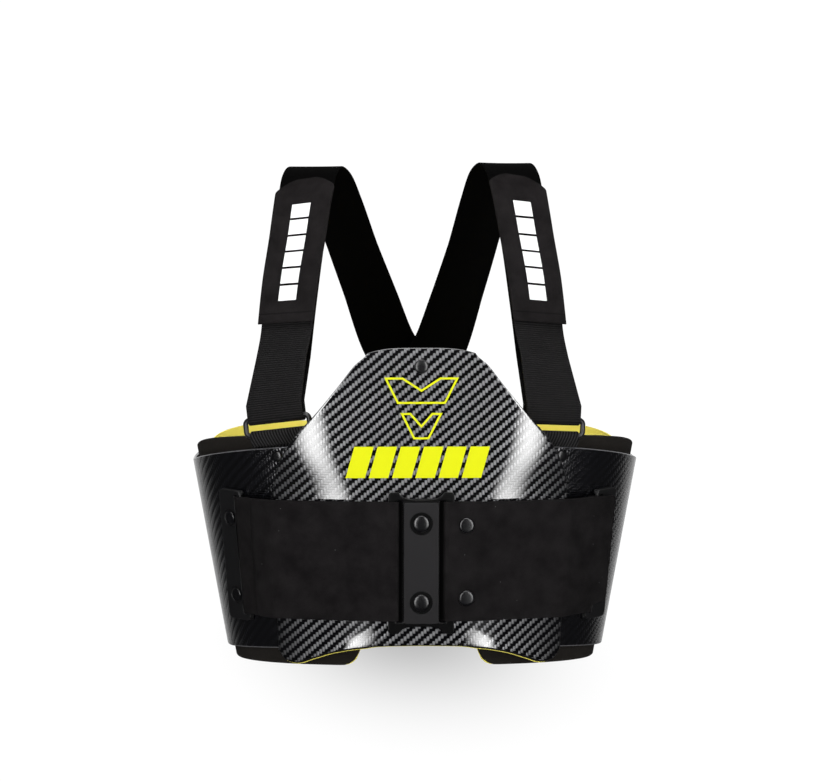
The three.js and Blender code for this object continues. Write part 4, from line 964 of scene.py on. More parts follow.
def back_plate():
    low = BACK_SIDE[0][0] * BACK_TOP
    tall = (BACK_SIDE[-1][0] - BACK_SIDE[0][0]) * BACK_TOP
    middle = SHELL_THICK + SKIN_GAP + BACK_PLATE_THICK / 2

    def cell(up_stop, across_stop):
        height = low + up_stop
        sideways = (across_stop / BACK_HALF - 1) * (back_side(height / BACK_TOP) * BACK_HALF)
        side = math.copysign(1, sideways)
        from_rim = min(across_stop, 2 * BACK_HALF - across_stop, up_stop, tall - up_stop)
        half = rim_half(from_rim, BACK_PLATE_THICK, PLATE_RIM)
        run = SECTION_RUN - abs(sideways)
        return (
            body_point(side, run, height, middle + half), body_point(side, run, height, middle - half),
            (sideways, height, 0.0), at_edge(from_rim, PLATE_RIM),
        )

    rows, columns = (stops(length, PLATE_RIM, BACK_STEP) for length in (tall, 2 * BACK_HALF))
    return layered("back_plate_look", carbon, rows, columns, cell)


def back_drop(run):
    """How far the pad's top lies below the lining's, behind the sides."""
    past = run - SECTION_RUN / 2
    return PAD_BACK_DROP * smooth_share(past, *PAD_BACK_PAST)


def lining_dip(run):
    """How far the lining's top sinks just behind the sides."""
    past = (run - SECTION_RUN / 2 - LINING_DIP_PAST) / LINING_DIP_REACH
    return LINING_DIP * math.exp(-past * past)


def add_layers():
    plate = chest_layer(
        "chest_plate_look", carbon, 0, PLATE_THICK, PLATE_RIM, GRID_STEP, lambda across: PLATE_THICK / 2)
    stand_for(plate, "chest_plate")
    pad = chest_layer(
        "chest_pad_look", foam, CHEST_PAD_LIP, CHEST_PAD_THICK, CHEST_PAD_RIM, CHEST_PAD_STEP,
        lambda across: CHEST_PAD_FRONT + CHEST_PAD_THICK / 2 + middle_pad(across))
    stand_for(pad, "chest_pad")
    lining = chest_layer(
        "chest_lining_look", yellow, LINING_LIP, LINING_THICK, LINING_RIM, LINING_STEP,
        lambda across: CHEST_PAD_BACK + SKIN_GAP + LINING_THICK / 2 + middle_pad(across))
    stand_for(lining, "chest_lining")
    stand_for(back_plate(), "back_plate")
    for side, label in SIDES:
        shell = side_layer(
            f"{label}_shell_look", side, shell_carbon, SHELL_FRONT, shell_low, shell_top,
            SHELL_THICK, 0.0, PLATE_RIM, SHELL_STEP)
        stand_for(shell, f"{label}_shell")
        pad = side_layer(
            f"{label}_pad_look", side, foam, PAD_FRONT, pad_low,
            lambda run: pad_top(run) - back_drop(run), PAD_OUT, PAD_IN, PAD_RIM, PAD_STEP)
        stand_for(pad, f"{label}_pad")
        lining = side_layer(
            f"{label}_lining_look", side, yellow, PAD_FRONT, lambda run: pad_low(run) - LINING_DROP,
            lambda run: pad_top(run) + LINING_RISE - lining_dip(run), LINING_OUT, LINING_IN,
            LINING_RIM, LINING_STEP)
        stand_for(lining, f"{label}_lining")


# Straps
STRAP_RIM = 0.9
STRAP_STEPS = 150
RIBBON_STEP = 5.0
CUT_END = 0.3
TINY_SHARE = 1e-4


def catmull_point(points, share):
    """Centripetal Catmull-Rom point at a share of the way along."""
    place = (len(points) - 1) * share
    index = math.floor(place)
    weight = place - index
    if index >= len(points) - 1:
        index, weight = len(points) - 2, 1.0
    second, third = points[index], points[index + 1]
    first = points[index - 1] if index > 0 else 2 * points[0] - points[1]
    fourth = points[index + 2] if index + 2 < len(points) else 2 * points[-1] - points[-2]
    before, step, after = (
        max(np.dot(gap, gap) ** 0.25, 1e-6) for gap in (second - first, third - second, fourth - third)
    )
    leave = ((second - first) / before - (third - first) / (before + step) + (third - second) / step) * step
    arrive = ((third - second) / step - (fourth - second) / (step + after) + (fourth - third) / after) * step
    square, cube = weight ** 2, weight ** 3
    return (
        second + leave * weight
        + (3 * (third - second) - 2 * leave - arrive) * square
        + (2 * (second - third) + leave + arrive) * cube
    )


def strap_end(label):
    plate_face = half_depth_at(STRAP_LOW) + SHELL_THICK + SKIN_GAP + BACK_PLATE_THICK
    layer = STRAP_LAYER[label] * (STRAP_THICK + STRAPS_APART)
    return vec(STRAP_END_ACROSS, plate_face + STRAP_SEAT + STRAP_THICK / 2 + layer, STRAP_LOW)


def strap_stations(label):
    """Stations of the strap's main layer: share, centre, direction across and outward normal."""
    end = strap_end(label)
    ring = RINGS[label]
    route = STRAP_ROUTES[label]
    points = [
        vec(blend(end[0], ring["side"] * ring["across"], across), end[1] * depth,
            blend(STRAP_LOW, SHOULDER_HEIGHT, rise))
        for across, depth, rise, _ in route
    ]
    yaws = [yaw for *_, yaw in route]
    stations = []
    for step in range(STRAP_STEPS + 1):
        share = step / STRAP_STEPS
        before = catmull_point(points, max(0.0, share - TINY_SHARE))
        tangent = unit(catmull_point(points, min(1.0, share + TINY_SHARE)) - before)
        yaw = math.radians(float(np.interp(share * (len(route) - 1), range(len(route)), yaws)))
        across = vec(math.cos(yaw), -math.sin(yaw), 0.0)
        across = unit(across - tangent * np.dot(across, tangent))
        stations.append([share, catmull_point(points, share), across, unit(np.cross(tangent, across))])
    top = max(stations, key=lambda station: station[1][2])
    if top[3][2] < 0:
        for station in stations:
            station[3] = -station[3]
    return stations


def ring_frame(label):
    """Ring's centre and its directions along the long bars, up, and out of the body."""
    ring = RINGS[label]
    side = ring["side"]
    run = run_at_half_width(ring["across"], ring["height"], RING_OFFSET)
    centre = body_point(side, run, ring["height"], RING_OFFSET)
    out = body_normal(side, run)
    level = vec(-out[1], out[0], 0.0)
    tilt = -side * math.radians(ring["tilt"])
    along = level * math.cos(tilt) + vec(0, 0, math.sin(tilt))
    up = np.cross(out, along)
    if up[2] < 0:
        up = -up
    return {"run": run, "side": side, "centre": centre, "along": along, "up": up, "out": out}


def in_frame(place, along, up, out):
    return place["centre"] + place["along"] * along + place["up"] * up + place["out"] * out


def ribbon(name, stations, width, thick, material, rim, ribbed_of):
    """Band of cloth with rounded edges through stations of centre, across and outward normal."""
    lengths = lengths_along([centre for centre, _, _ in stations])

    def cell(place, stop):
        centre, across, out = stations[place]
        from_end = min(lengths[place], lengths[-1] - lengths[place])
        half = rim_half(min(stop, width - stop, from_end + CUT_END), thick, rim)
        base = centre + across * (stop - width / 2)
        return base + out * half, base - out * half, (stop, lengths[place], ribbed_of(place))

    piece = layered(name, material, range(len(stations)), stops(width, rim, RIBBON_STEP), cell)
    return piece, float(lengths[-1])


def add_strap(label):
    stations = strap_stations(label)
    place = ring_frame(label)
    bar = RING_TALL / 2 - RING_WIRE / 2
    turn = RING_WIRE / 2 + SKIN_GAP + STRAP_THICK / 2 + BEND_SLACK
    across = place["along"]
    if np.dot(across, stations[-1][2]) < 0:
        across = -across
    rises = (LOOP_RISE, LOOP_RISE / 2, 0.0)
    loop = [(in_frame(place, 0, bar + rise, -turn), across, place["out"]) for rise in rises]
    for step in range(1, LOOP_STEPS):
        out, up = on_circle(0, 0, 1, 180 + 180 * step / LOOP_STEPS)
        normal = -place["out"] * out - place["up"] * up
        loop.append((in_frame(place, 0, bar + up * turn, out * turn), across, normal))
    loop += [(in_frame(place, 0, bar + rise, turn), across, -place["out"]) for rise in reversed(rises)]
    main = [(centre, sideways, out) for _, centre, sideways, out in stations]
    back = []
    for share, centre, sideways, out in reversed(stations):
        if share >= RETURN_FROM:
            opening = smooth_share(share, TAB_TO + TAB_CLEAR_SHARE, OPEN_TO)
            gap = blend(STRAP_THICK + SKIN_GAP + BEND_SLACK, 2 * turn, opening)
            back.append((centre + out * gap, sideways, -out))
    plush_stations = len(main)
    piece, length = ribbon(
        f"{label}_strap_look", main + loop + back, STRAP_WIDE, STRAP_THICK, elastic, STRAP_RIM,
        lambda number: 0.0 if number < plush_stations else 1.0)
    stand_for(piece, f"{label}_strap")
    length * MM
    add_tab(label, stations)


# Tabs on the strap ends
TAB_CORNERS = Smooth([(0.0, 20.0), (3.0, 14.5), (10.0, 7.5), (17.0, 2.0), (20.0, 0.5), (23.0, 0.0)])
TAB_RIM = 1.0
TAB_STEP_DOWN = 2.0
TAB_STEP_ACROSS = 2.2


def tab_stations(stations, spread):
    """Stations of the tab's middle layer, with the distance from its top."""
    over = STRAP_THICK * 1.5 + SKIN_GAP * 2 + TAB_LAYER_GAP
    near = STRAP_THICK * 0.5 + SKIN_GAP + BEND_SLACK
    shares, centres, acrosses, outs = (np.array(values) for values in zip(*stations))
    rows = []
    for stop in spread:
        share = TAB_FROM + stop / ROUTE_LENGTH
        depth = blend(near, over, smooth_share(share, STEP_FROM, STEP_TO)) + TAB_THICK / 2
        out = unit(between(share, shares, outs))
        rows.append((
            stop, between(share, shares, centres) + out * depth, unit(between(share, shares, acrosses)), out))
    return rows


def add_tab(label, stations):
    tall = (TAB_TO - TAB_FROM) * ROUTE_LENGTH
    rows = tab_stations(stations, stops(tall, TAB_RIM, TAB_STEP_DOWN))

    def half_wide(from_top):
        return TAB_WIDE / 2 - TAB_CORNERS(from_top)

    def cell(row, stop):
        from_top, centre, across, out = row
        half = rim_half(min(stop, TAB_WIDE - stop, from_top, tall - from_top), TAB_THICK, TAB_RIM)
        sideways = (2 * stop / TAB_WIDE - 1) * half_wide(from_top)
        base = centre + across * sideways
        return base + out * half, base - out * half, (sideways, from_top, 0.0)

    piece = layered(f"{label}_tab_look", tab_felt, rows, stops(TAB_WIDE, TAB_RIM, TAB_STEP_ACROSS), cell)
    halves = np.array([half_wide(from_top) for from_top, *_ in rows])
    stand_for(piece, f"{label}_tab")


def sheet_solid(name, middle, half, material, cloth):
    """Sheet about a grid of middle points, with half its thickness at each."""
    middle = np.array(middle, dtype=float)
    normal = np.cross(np.gradient(middle, axis=1), np.gradient(middle, axis=0))
    normal /= np.linalg.norm(normal, axis=2, keepdims=True)
    shift = normal * np.array(half)[:, :, None]
    return grid_solid(name, material, (middle + shift).tolist(), (middle - shift).tolist(), cloth)


# Rings
RING_SIDES = 20
RING_BEND_STEPS = 8


def add_ring(label):
    place = ring_frame(label)
    half_long = (RING_LONG - RING_WIRE) / 2 - RING_CORNER
    half_tall = (RING_TALL - RING_WIRE) / 2 - RING_CORNER
    points = []
    for x, y, start in ((1, -1, -90), (1, 1, 0), (-1, 1, 90), (-1, -1, 180)):
        for bend in range(RING_BEND_STEPS + 1):
            out = on_circle(0, 0, 1, start + 90 * bend / RING_BEND_STEPS)
            for step in range(RING_SIDES):
                ahead, level = on_circle(0, 0, RING_WIRE / 2, 360 * step / RING_SIDES)
                reach = RING_CORNER + ahead
                points.append(in_frame(
                    place, x * half_long + out[0] * reach, y * half_tall + out[1] * reach, level))
    faces = []
    for first in range(0, len(points), RING_SIDES):
        second = (first + RING_SIDES) % len(points)
        for step in range(RING_SIDES):
            after = (step + 1) % RING_SIDES
            faces.append((first + step, second + step, second + after, first + after))
    piece = new_piece(f"{label}_ring_look", points, facing_out(points, faces), ring_plastic)
    stand_for(piece, f"{label}_ring")


# Anchors: webbing from behind the shell, up and round the ring's lower bar
ANCHOR_RIM = 0.7
ANCHOR_STEPS = 60
ANCHOR_STEP = 3.0
ANCHOR_LAST = [(0.55, 0.8), (1.0, 0.35)]


def add_anchor(label):
    place = ring_frame(label)
    side, run = place["side"], place["run"]
    bar = -(RING_TALL / 2 - RING_WIRE / 2)
    turn = RING_WIRE / 2 + SKIN_GAP + ANCHOR_THICK / 2
    behind = -ANCHOR_BEHIND - ANCHOR_THICK / 2
    height = RINGS[label]["height"]
    grows = body_point(side, run + 1, height, 0) - body_point(side, run, height, 0)
    along_sign = math.copysign(1, np.dot(grows, place["along"]))
    tails = (ANCHOR_TAIL_LOW, (ANCHOR_TAIL_LOW + ANCHOR_TAIL_HIGH) / 2, ANCHOR_TAIL_HIGH)
    round_bar = [(0, -turn)]
    round_bar += [(up, out) for out, up in (on_circle(0, 0, turn, angle) for angle in (135, 90, 45, 0))]
    round_bar += [(-ANCHOR_END * down, turn * out) for down, out in ANCHOR_LAST]

    def column(stop):
        reach = stop - ANCHOR_WIDE / 2
        route = [body_point(side, run + reach, tail, behind) for tail in tails]
        route += [in_frame(place, reach * along_sign, bar + up, out) for up, out in round_bar]
        return [catmull_point(route, step / ANCHOR_STEPS) for step in range(ANCHOR_STEPS + 1)]

    across_stops = stops(ANCHOR_WIDE, ANCHOR_RIM, ANCHOR_STEP)
    middle = list(zip(*(column(stop) for stop in across_stops)))
    lengths = lengths_along([row[len(row) // 2] for row in middle])
    rims = [rim_half(min(stop, ANCHOR_WIDE - stop), ANCHOR_THICK, ANCHOR_RIM) for stop in across_stops]
    cloth = [[(stop, length, 0.0) for stop in across_stops] for length in lengths]
    piece = sheet_solid(f"{label}_anchor_look", middle, [rims] * len(middle), webbing, cloth)
    stand_for(piece, f"{label}_anchor")


# Frames of the brackets
def surface_frame(side, run, height):
    centre = body_point(side, run, height, 0)
    up = unit(body_point(side, run, height + FRAME_REACH, 0) - body_point(side, run, height - FRAME_REACH, 0))
    forward = body_point(side, run - FRAME_REACH, height, 0) - body_point(side, run + FRAME_REACH, height, 0)
    forward = unit(forward - up * np.dot(forward, up))
    out = unit(np.cross(forward, up) * -side)
    if np.dot(out, body_normal(side, run)) < 0:
        out = -out
    return {"centre": centre, "forward": forward, "up": up, "out": out}


def bracket_frame(side):
    place = surface_frame(side, run_at_half_width(BRACKET_ACROSS, BAND_MIDDLE, 0), BAND_MIDDLE)
    lean = math.radians(BRACKET_LEAN)
    up = place["up"] * math.cos(lean) + place["forward"] * math.sin(lean)
    forward = place["forward"] * math.cos(lean) - place["up"] * math.sin(lean)
    return {**place, "up": up, "forward": forward}


brackets = {"left": bracket_frame(-1), "right": bracket_frame(1)}

# Bands
FOLD_TURN = (BAR_FRONT - BAR_BACK) / 2 + FOLD_GAP + BAND_THICK / 2
INNER_LIFT = (BAR_BACK + BAR_FRONT) / 2 - FOLD_TURN
OUTER_LIFT = INNER_LIFT + BAND_THICK + SKIN_GAP + BAND_SLACK
FOLD_LIFT = (BAR_BACK + BAR_FRONT) / 2 + FOLD_TURN
BRACKET_BAR_MIDDLE = (BRACKET_BAR_BACK + BRACKET_TOP) / 2
BRACKET_TURN = (BRACKET_TOP - BRACKET_BAR_BACK) / 2 + FOLD_GAP + BAND_THICK / 2
BRACKET_OVER = BRACKET_BAR_MIDDLE + BRACKET_TURN + BAND_THICK + SKIN_GAP + BAND_SLACK
BAND_RIM = 0.9
BAND_ROUTE_STEPS = 5
BAND_STEP = 5.0
BAND_TABLE_ROWS = 25
LEFT_CORNERS = (5.0, 7.0)
RIGHT_CORNERS = (4.0, 3.0)
RIGHT_NARROWS = 8.0
RIGHT_NARROW_REACH = 60.0

# How a band rounds the plate's edge: distance past it, the lift's shares sideways and outwards, a shift
CORNER_POINTS = [(-2.0, 0.0, 1.06, -0.7), (1.0, 0.35, 0.95, 0.8)]


def on_bracket(place, forward, height, out):
    rise = (height - BAND_MIDDLE) / place["up"][2]
    return place["centre"] + place["forward"] * forward + place["up"] * rise + place["out"] * out


def plate_line(side, height, lift, places):
    tilt = math.hypot(1, WING_SLOPE)
    line = []
    for across in places:
        past = wing_drop(across, height)
        spread = blend(1, tilt, min(1.0, past / 5))
        line.append((side * across, chest_front(across, height) - lift * spread))
    return line


def corner_line(side, height, lift):
    half = plate_half(height)
    edge = chest_front(half, height)
    return [
        (side * (half + past + spread * lift), edge - rise * lift + shift)
        for past, spread, rise, shift in CORNER_POINTS
    ]


def bracket_line(place, height, places):
    return [tuple(on_bracket(place, forward, height, out)[:2]) for forward, out in places]


def bar_turn(half_bar):
    turn = FOLD_GAP + BAND_THICK / 2
    return [
        on_circle(0, corner * half_bar, turn, start + step)
        for corner, start in ((-1, -90), (1, 0)) for step in (0, 45, 90)
    ]


def bridge_fold(side, height):
    front = chest_front(0, height)
    middle = (BAR_BACK + BAR_FRONT) / 2
    return [
        (side * (BRIDGE_SLOT_OUT - ahead), front - middle - rise)
        for ahead, rise in bar_turn((BAR_FRONT - BAR_BACK) / 2)
    ]


def bar_pass(side, height):
    return (side * (BRIDGE_HALF + 1), chest_front(0, height) - FOLD_LIFT)


def bracket_fold():
    turn = [
        (BRACKET_SLOT_TO - ahead, BRACKET_BAR_MIDDLE + rise)
        for ahead, rise in reversed(bar_turn((BRACKET_TOP - BRACKET_BAR_BACK) / 2))
    ]
    first = (BRACKET_FRONT + 1, BRACKET_BAR_MIDDLE + BRACKET_TURN)
    last = (BRACKET_FRONT + BAND_TURN_BACK, BRACKET_BAR_MIDDLE - BRACKET_TURN - BAND_TUCK)
    return [first, *turn, last]


def places_past(across):
    return [place for place in PLATE_PLACES if place > across + PLACE_STEP]


def left_band_route(height):
    place = brackets["left"]
    over_bar = bracket_line(place, height, [(BRACKET_FRONT, BRACKET_OVER)])[0]
    edge, bend = corner_line(-1, height, OUTER_LIFT)
    free_end = tuple(blend(start, end, LEFT_END_SHARE) for start, end in zip(bend, over_bar))
    return [
        free_end, bend, edge,
        *plate_line(-1, height, OUTER_LIFT, places_past(BRIDGE_HALF + PLACE_STEP)),
        bar_pass(-1, height),
        *reversed(bridge_fold(-1, height)),
        *plate_line(-1, height, INNER_LIFT, reversed(PLATE_PLACES)),
        *corner_line(-1, height, INNER_LIFT),
        *bracket_line(place, height, bracket_fold()),
    ]


def right_band_route(height):
    place = brackets["right"]
    return [
        *plate_line(1, height, INNER_LIFT, [FLAP_END, (FLAP_END + PAST_BRIDGE) / 2, PAST_BRIDGE]),
        *bridge_fold(1, height),
        bar_pass(1, height),
        (RIVETED_END, chest_front(0, height) - RIVETED_LIFT),
        *plate_line(1, height, OUTER_LIFT, reversed(places_past(RIVETED_END))),
        *corner_line(1, height, OUTER_LIFT),
        *bracket_line(place, height, [
            (BRACKET_FRONT, BRACKET_OVER), (BRACKET_SLOT_FROM, BRACKET_OVER), (-RIGHT_END, BRACKET_OVER),
        ]),
    ]


def under_band_route(height):
    place = brackets["right"]
    return [
        *plate_line(1, height, INNER_LIFT, [UNDER_END, *reversed(places_past(UNDER_END))]),
        *corner_line(1, height, INNER_LIFT),
        *bracket_line(place, height, bracket_fold()),
    ]


def smooth_route(route, height):
    line = [np.array(point, dtype=float) for point in route(height)]
    count = (len(line) - 1) * BAND_ROUTE_STEPS
    return np.array([catmull_point(line, step / count) for step in range(count + 1)])


def add_band(name, route, corner_of=lambda from_start, from_end: (0.0, 0.0)):
    """Band along a route; corner_of gives how far its low and high edge draw in near an end."""
    tall = BAND_HIGH - BAND_LOW
    lengths = lengths_along(smooth_route(route, BAND_MIDDLE))
    length = float(lengths[-1])
    table_heights = np.linspace(BAND_LOW, BAND_HIGH, BAND_TABLE_ROWS)
    table = np.array([smooth_route(route, height) for height in table_heights])

    def cell(up_stop, number):
        place = float(lengths[number])
        low_in, high_in = corner_of(place, length - place)
        height = blend(BAND_LOW + low_in, BAND_HIGH - high_in, up_stop / tall)
        x, y = between(height, table_heights, table[:, number])
        from_rim = min(up_stop, tall - up_stop, place + CUT_END, length - place + CUT_END)
        return (x, y, height), rim_half(from_rim, BAND_THICK, BAND_RIM), (place, height, 0.0)

    middle, half, cloth = grids(stops(tall, BAND_RIM, BAND_STEP), range(len(lengths)), cell)
    piece = sheet_solid(f"{name}_look", middle, half, felt, cloth)
    stand_for(piece, name)


def left_corner(from_start, from_end):
    return tuple(corner_inset(from_start, radius) for radius in LEFT_CORNERS)


def right_corner(from_start, from_end):
    low, high = (corner_inset(from_end, radius) for radius in RIGHT_CORNERS)
    return RIGHT_NARROWS * (1 - smooth_share(from_end, 0.0, RIGHT_NARROW_REACH)) + low, high


# Moulded plates cut from outlines
def arc_points(x, y, radius, start, end, count=6):
    return [on_circle(x, y, radius, blend(start, end, step / count)) for step in range(count + 1)]


def round_box(left, low, right, high, radius):
    return [
        *arc_points(right - radius, low + radius, radius, -90, 0),
        *arc_points(right - radius, high - radius, radius, 0, 90),
        *arc_points(left + radius, high - radius, radius, 90, 180),
        *arc_points(left + radius, low + radius, radius, 180, 270),
    ]


def circle(x, y, radius, count=32):
    return [on_circle(x, y, radius, 360 * step / count) for step in range(count)]


def moulded_mesh(outlines, from_level, to_level, bevel):
    """Mesh of a plate with the given outlines (holes included) and softened edges."""
    curve = bpy.data.curves.new("outline", "CURVE")
    curve.dimensions = "2D"
    curve.fill_mode = "BOTH"
    curve.extrude = (to_level - from_level) / 2 - bevel
    curve.bevel_depth = bevel
    curve.bevel_resolution = BEVEL_STEPS
    curve.offset = -bevel
    for outline in outlines:
        spline = curve.splines.new("POLY")
        spline.points.add(len(outline) - 1)
        for point, (x, y) in zip(spline.points, outline):
            point.co = (x, y, 0, 1)
        spline.use_cyclic_u = True
    holder = new_object("outline", curve)
    mesh = bpy.data.meshes.new_from_object(holder.evaluated_get(bpy.context.evaluated_depsgraph_get()))
    middle = (from_level + to_level) / 2
    points = [(point.co.x, point.co.y, point.co.z + middle) for point in mesh.vertices]
    faces = [tuple(face.vertices) for face in mesh.polygons]
    bpy.data.objects.remove(holder)
    bpy.data.curves.remove(curve)
    bpy.data.meshes.remove(mesh)
    return points, faces


def moulded_piece(name, layers, placed, *materials):
    """Piece of several plates, placed by a function of x, y and level.

    A plate is its outlines, two levels and its bevel, and can name its material's number."""
    points, faces, numbers = [], [], []
    for outlines, from_level, to_level, bevel, *number in layers:
        some_points, some_faces = moulded_mesh(outlines, from_level, to_level, bevel)
        faces += [tuple(len(points) + corner for corner in face) for face in some_faces]
        points += some_points
        numbers += (number or [0]) * len(some_faces)
    piece = new_piece(name, [placed(*point) for point in points], faces, materials[0])
    for material in materials[1:]:
        piece.data.materials.append(material)
    piece.data.polygons.foreach_set("material_index", numbers)
    piece.data.set_sharp_from_angle(angle=math.radians(MOULDED_SHARP))
    return piece


CHEST_OUT = unit(vec(0, -1, -CHEST_DEPTH_RISE))
PLATE_UP = unit(vec(0, -CHEST_DEPTH_RISE, 1))


def on_plate(across, height, lift):
    return vec(across, chest_front(across, height), height) + CHEST_OUT * lift


bridge_centre = on_plate(0, BRIDGE_HEIGHT, 0)


def bridge_outline():
    """Frame of the bridge with hollowed upper and lower edges."""
    top = BRIDGE_TALL / 2
    shoulder = BRIDGE_SLOT_IN + BRIDGE_SHOULDER
    corner = BRIDGE_CORNER
    shares = [step / HOLLOW_STEPS for step in range(HOLLOW_STEPS, -HOLLOW_STEPS - 1, -1)]
    depths = [BRIDGE_DIP * (1 - abs(share) ** HOLLOW_FLAT) ** HOLLOW_ROUND for share in shares]
    upper = [
        *arc_points(BRIDGE_HALF - corner, top - corner, corner, 0, 90),
        *((share * shoulder, top - depth) for share, depth in zip(shares, depths)),
        *arc_points(-BRIDGE_HALF + corner, top - corner, corner, 90, 180),
    ]
    return upper + [(-x, -y) for x, y in upper]


def bridge_slots():
    low = BRIDGE_SLOT_RISE - BRIDGE_SLOT_TALL / 2
    high = BRIDGE_SLOT_RISE + BRIDGE_SLOT_TALL / 2
    return [
        round_box(left, low, right, high, BRIDGE_SLOT_ROUND)
        for left, right in ((-BRIDGE_SLOT_OUT, -BRIDGE_SLOT_IN), (BRIDGE_SLOT_IN, BRIDGE_SLOT_OUT))
    ]


def placed_on_bridge(x, y, level):
    return bridge_centre + vec(x, 0, 0) + PLATE_UP * y + CHEST_OUT * level


def add_bridge():
    slot_low = BRIDGE_SLOT_RISE - BRIDGE_SLOT_TALL / 2
    slot_high = BRIDGE_SLOT_RISE + BRIDGE_SLOT_TALL / 2
    hollow = BRIDGE_TALL / 2 - BRIDGE_DIP
    half_wide = BRIDGE_HALF - BRIDGE_CAP_INSET
    half_base = BRIDGE_SLOT_IN - BRIDGE_BASE_INSET
    half_column = (BRIDGE_SLOT_TALL - COLUMN_SHORT) / 2
    recesses = [circle(0, sign * BRIDGE_RIVET, BRIDGE_RECESS) for sign in (-1, 1)]
    column = round_box(-BRIDGE_COLUMN, -half_column, BRIDGE_COLUMN, half_column, COLUMN_ROUND)
    under_front = BRIDGE_FRONT - RECESS_DEEP
    floor = round_box(-BRIDGE_SLOT_OUT, slot_low - 1, BRIDGE_SLOT_OUT, slot_high + 1, FLOOR_ROUND)
    behind = [
        round_box(-half_base, 1 - hollow, half_base, hollow - 1, 1.0),
        round_box(-half_wide, slot_high, half_wide, hollow - 0.3, 1.0),
        round_box(-half_wide, 0.3 - hollow, half_wide, slot_low, 1.0),
    ]
    layers = [
        ([bridge_outline(), *bridge_slots()], BAR_BACK, BAR_FRONT, 0.7, 1),
        *(([outline], BRIDGE_BASE, BAR_BACK + PLATE_OVERLAP, 0.2, 1) for outline in behind),
        ([floor], *BRIDGE_FLOOR, 0.1, 1),
        ([column], BAR_BACK, under_front, 0.2, 1),
        ([column, *recesses], under_front - 0.4, BRIDGE_FRONT, 0.35),
    ]
    piece = moulded_piece("bridge_look", layers, placed_on_bridge, bridge_plastic, frame_plastic)
    stand_for(piece, "bridge")


def add_bracket(label):
    place = brackets[label]
    low = BRACKET_RISE - BRACKET_TALL / 2
    high = BRACKET_RISE + BRACKET_TALL / 2
    slot_low = BRACKET_SLOT_RISE - BRACKET_SLOT_TALL / 2
    slot_high = BRACKET_SLOT_RISE + BRACKET_SLOT_TALL / 2
    outline = round_box(-BRACKET_BACK, low, BRACKET_FRONT, high, BRACKET_CORNER)
    slot = round_box(BRACKET_SLOT_FROM, slot_low, BRACKET_SLOT_TO, slot_high, 1.8)
    dishes = [circle(0, sign * BRACKET_RIVET, BRACKET_DISH) for sign in (-1, 1)]
    under_front = BRACKET_TOP - DISH_DEEP
    behind = [
        round_box(-BRACKET_BACK, low, BRACKET_SLOT_FROM, high, 3.0),
        round_box(0, slot_high, BRACKET_FRONT, high, 1.5),
        round_box(0, low, BRACKET_FRONT, slot_low, 1.5),
    ]
    layers = [
        ([outline, slot], BRACKET_BAR_BACK, under_front, 0.3),
        ([outline, slot, *dishes], under_front - PLATE_OVERLAP, BRACKET_TOP, 0.5),
        *(([part], BRACKET_BASE, BRACKET_BAR_BACK + PLATE_OVERLAP, 0.3) for part in behind),
    ]

    def placed(x, y, level):
        return place["centre"] + place["forward"] * x + place["up"] * y + place["out"] * level

    piece = moulded_piece(f"{label}_bracket_look", layers, placed, bracket_plastic)
    stand_for(piece, f"{label}_bracket")


# Rivets
DOME_SIDES = 40
DOME_STEPS = 8


def add_rivet(name, point, direction, radius, roundness=DOME_ROUND):
    direction = unit(direction)
    side = unit(np.cross(direction, vec(0, 0, 1)))
    up = np.cross(side, direction)
    profile = [(radius * RIVET_FOOT, 0.0), (radius, RIVET_HEAD_TALL * RIVET_EDGE)]
    for step in range(1, DOME_STEPS):
        reach, level = on_circle(0, 0, 1, 90 * step / DOME_STEPS)
        profile.append((radius * reach ** roundness, RIVET_HEAD_TALL * blend(RIVET_EDGE, 1.0, level)))
    points = []
    for reach, level in profile:
        for step in range(DOME_SIDES):
            x, y = on_circle(0, 0, reach, 360 * step / DOME_SIDES)
            points.append(point + direction * level + side * x + up * y)
    top = len(points)
    last = top - DOME_SIDES
    points += [point + direction * RIVET_HEAD_TALL, point]
    faces = []
    for step in range(DOME_SIDES):
        after = (step + 1) % DOME_SIDES
        for first in range(0, last, DOME_SIDES):
            second = first + DOME_SIDES
            faces.append((first + step, first + after, second + after, second + step))
        faces.append((last + step, last + after, top))
        faces.append((after, step, top + 1))
    piece = new_piece(f"{name}_look", points, facing_out(points, faces), rivet_paint)
    piece.data.set_sharp_from_angle(angle=math.radians(RIVET_SHARP))
    stand_for(piece, name)


def on_right_band(across, height):
    """Point of the right band's outer layer and its normal."""
    def outer_point(at_across, at_height):
        line = smooth_route(right_band_route, at_height)
        too_deep = line[:, 1] > chest_front(0, at_height) - BAR_FRONT + BAR_SLACK
        start = int(np.argmin(np.abs(line[:, 0] - (BRIDGE_HALF + 1)) + too_deep))
        return vec(at_across, float(np.interp(at_across, line[start:, 0], line[start:, 1])), at_height)

    centre = outer_point(across, height)
    along = outer_point(across + SLOPE_REACH, height) - centre
    climb = outer_point(across, height + SLOPE_REACH) - centre
    normal = unit(np.cross(along, climb))
    return centre, normal if normal[1] < 0 else -normal


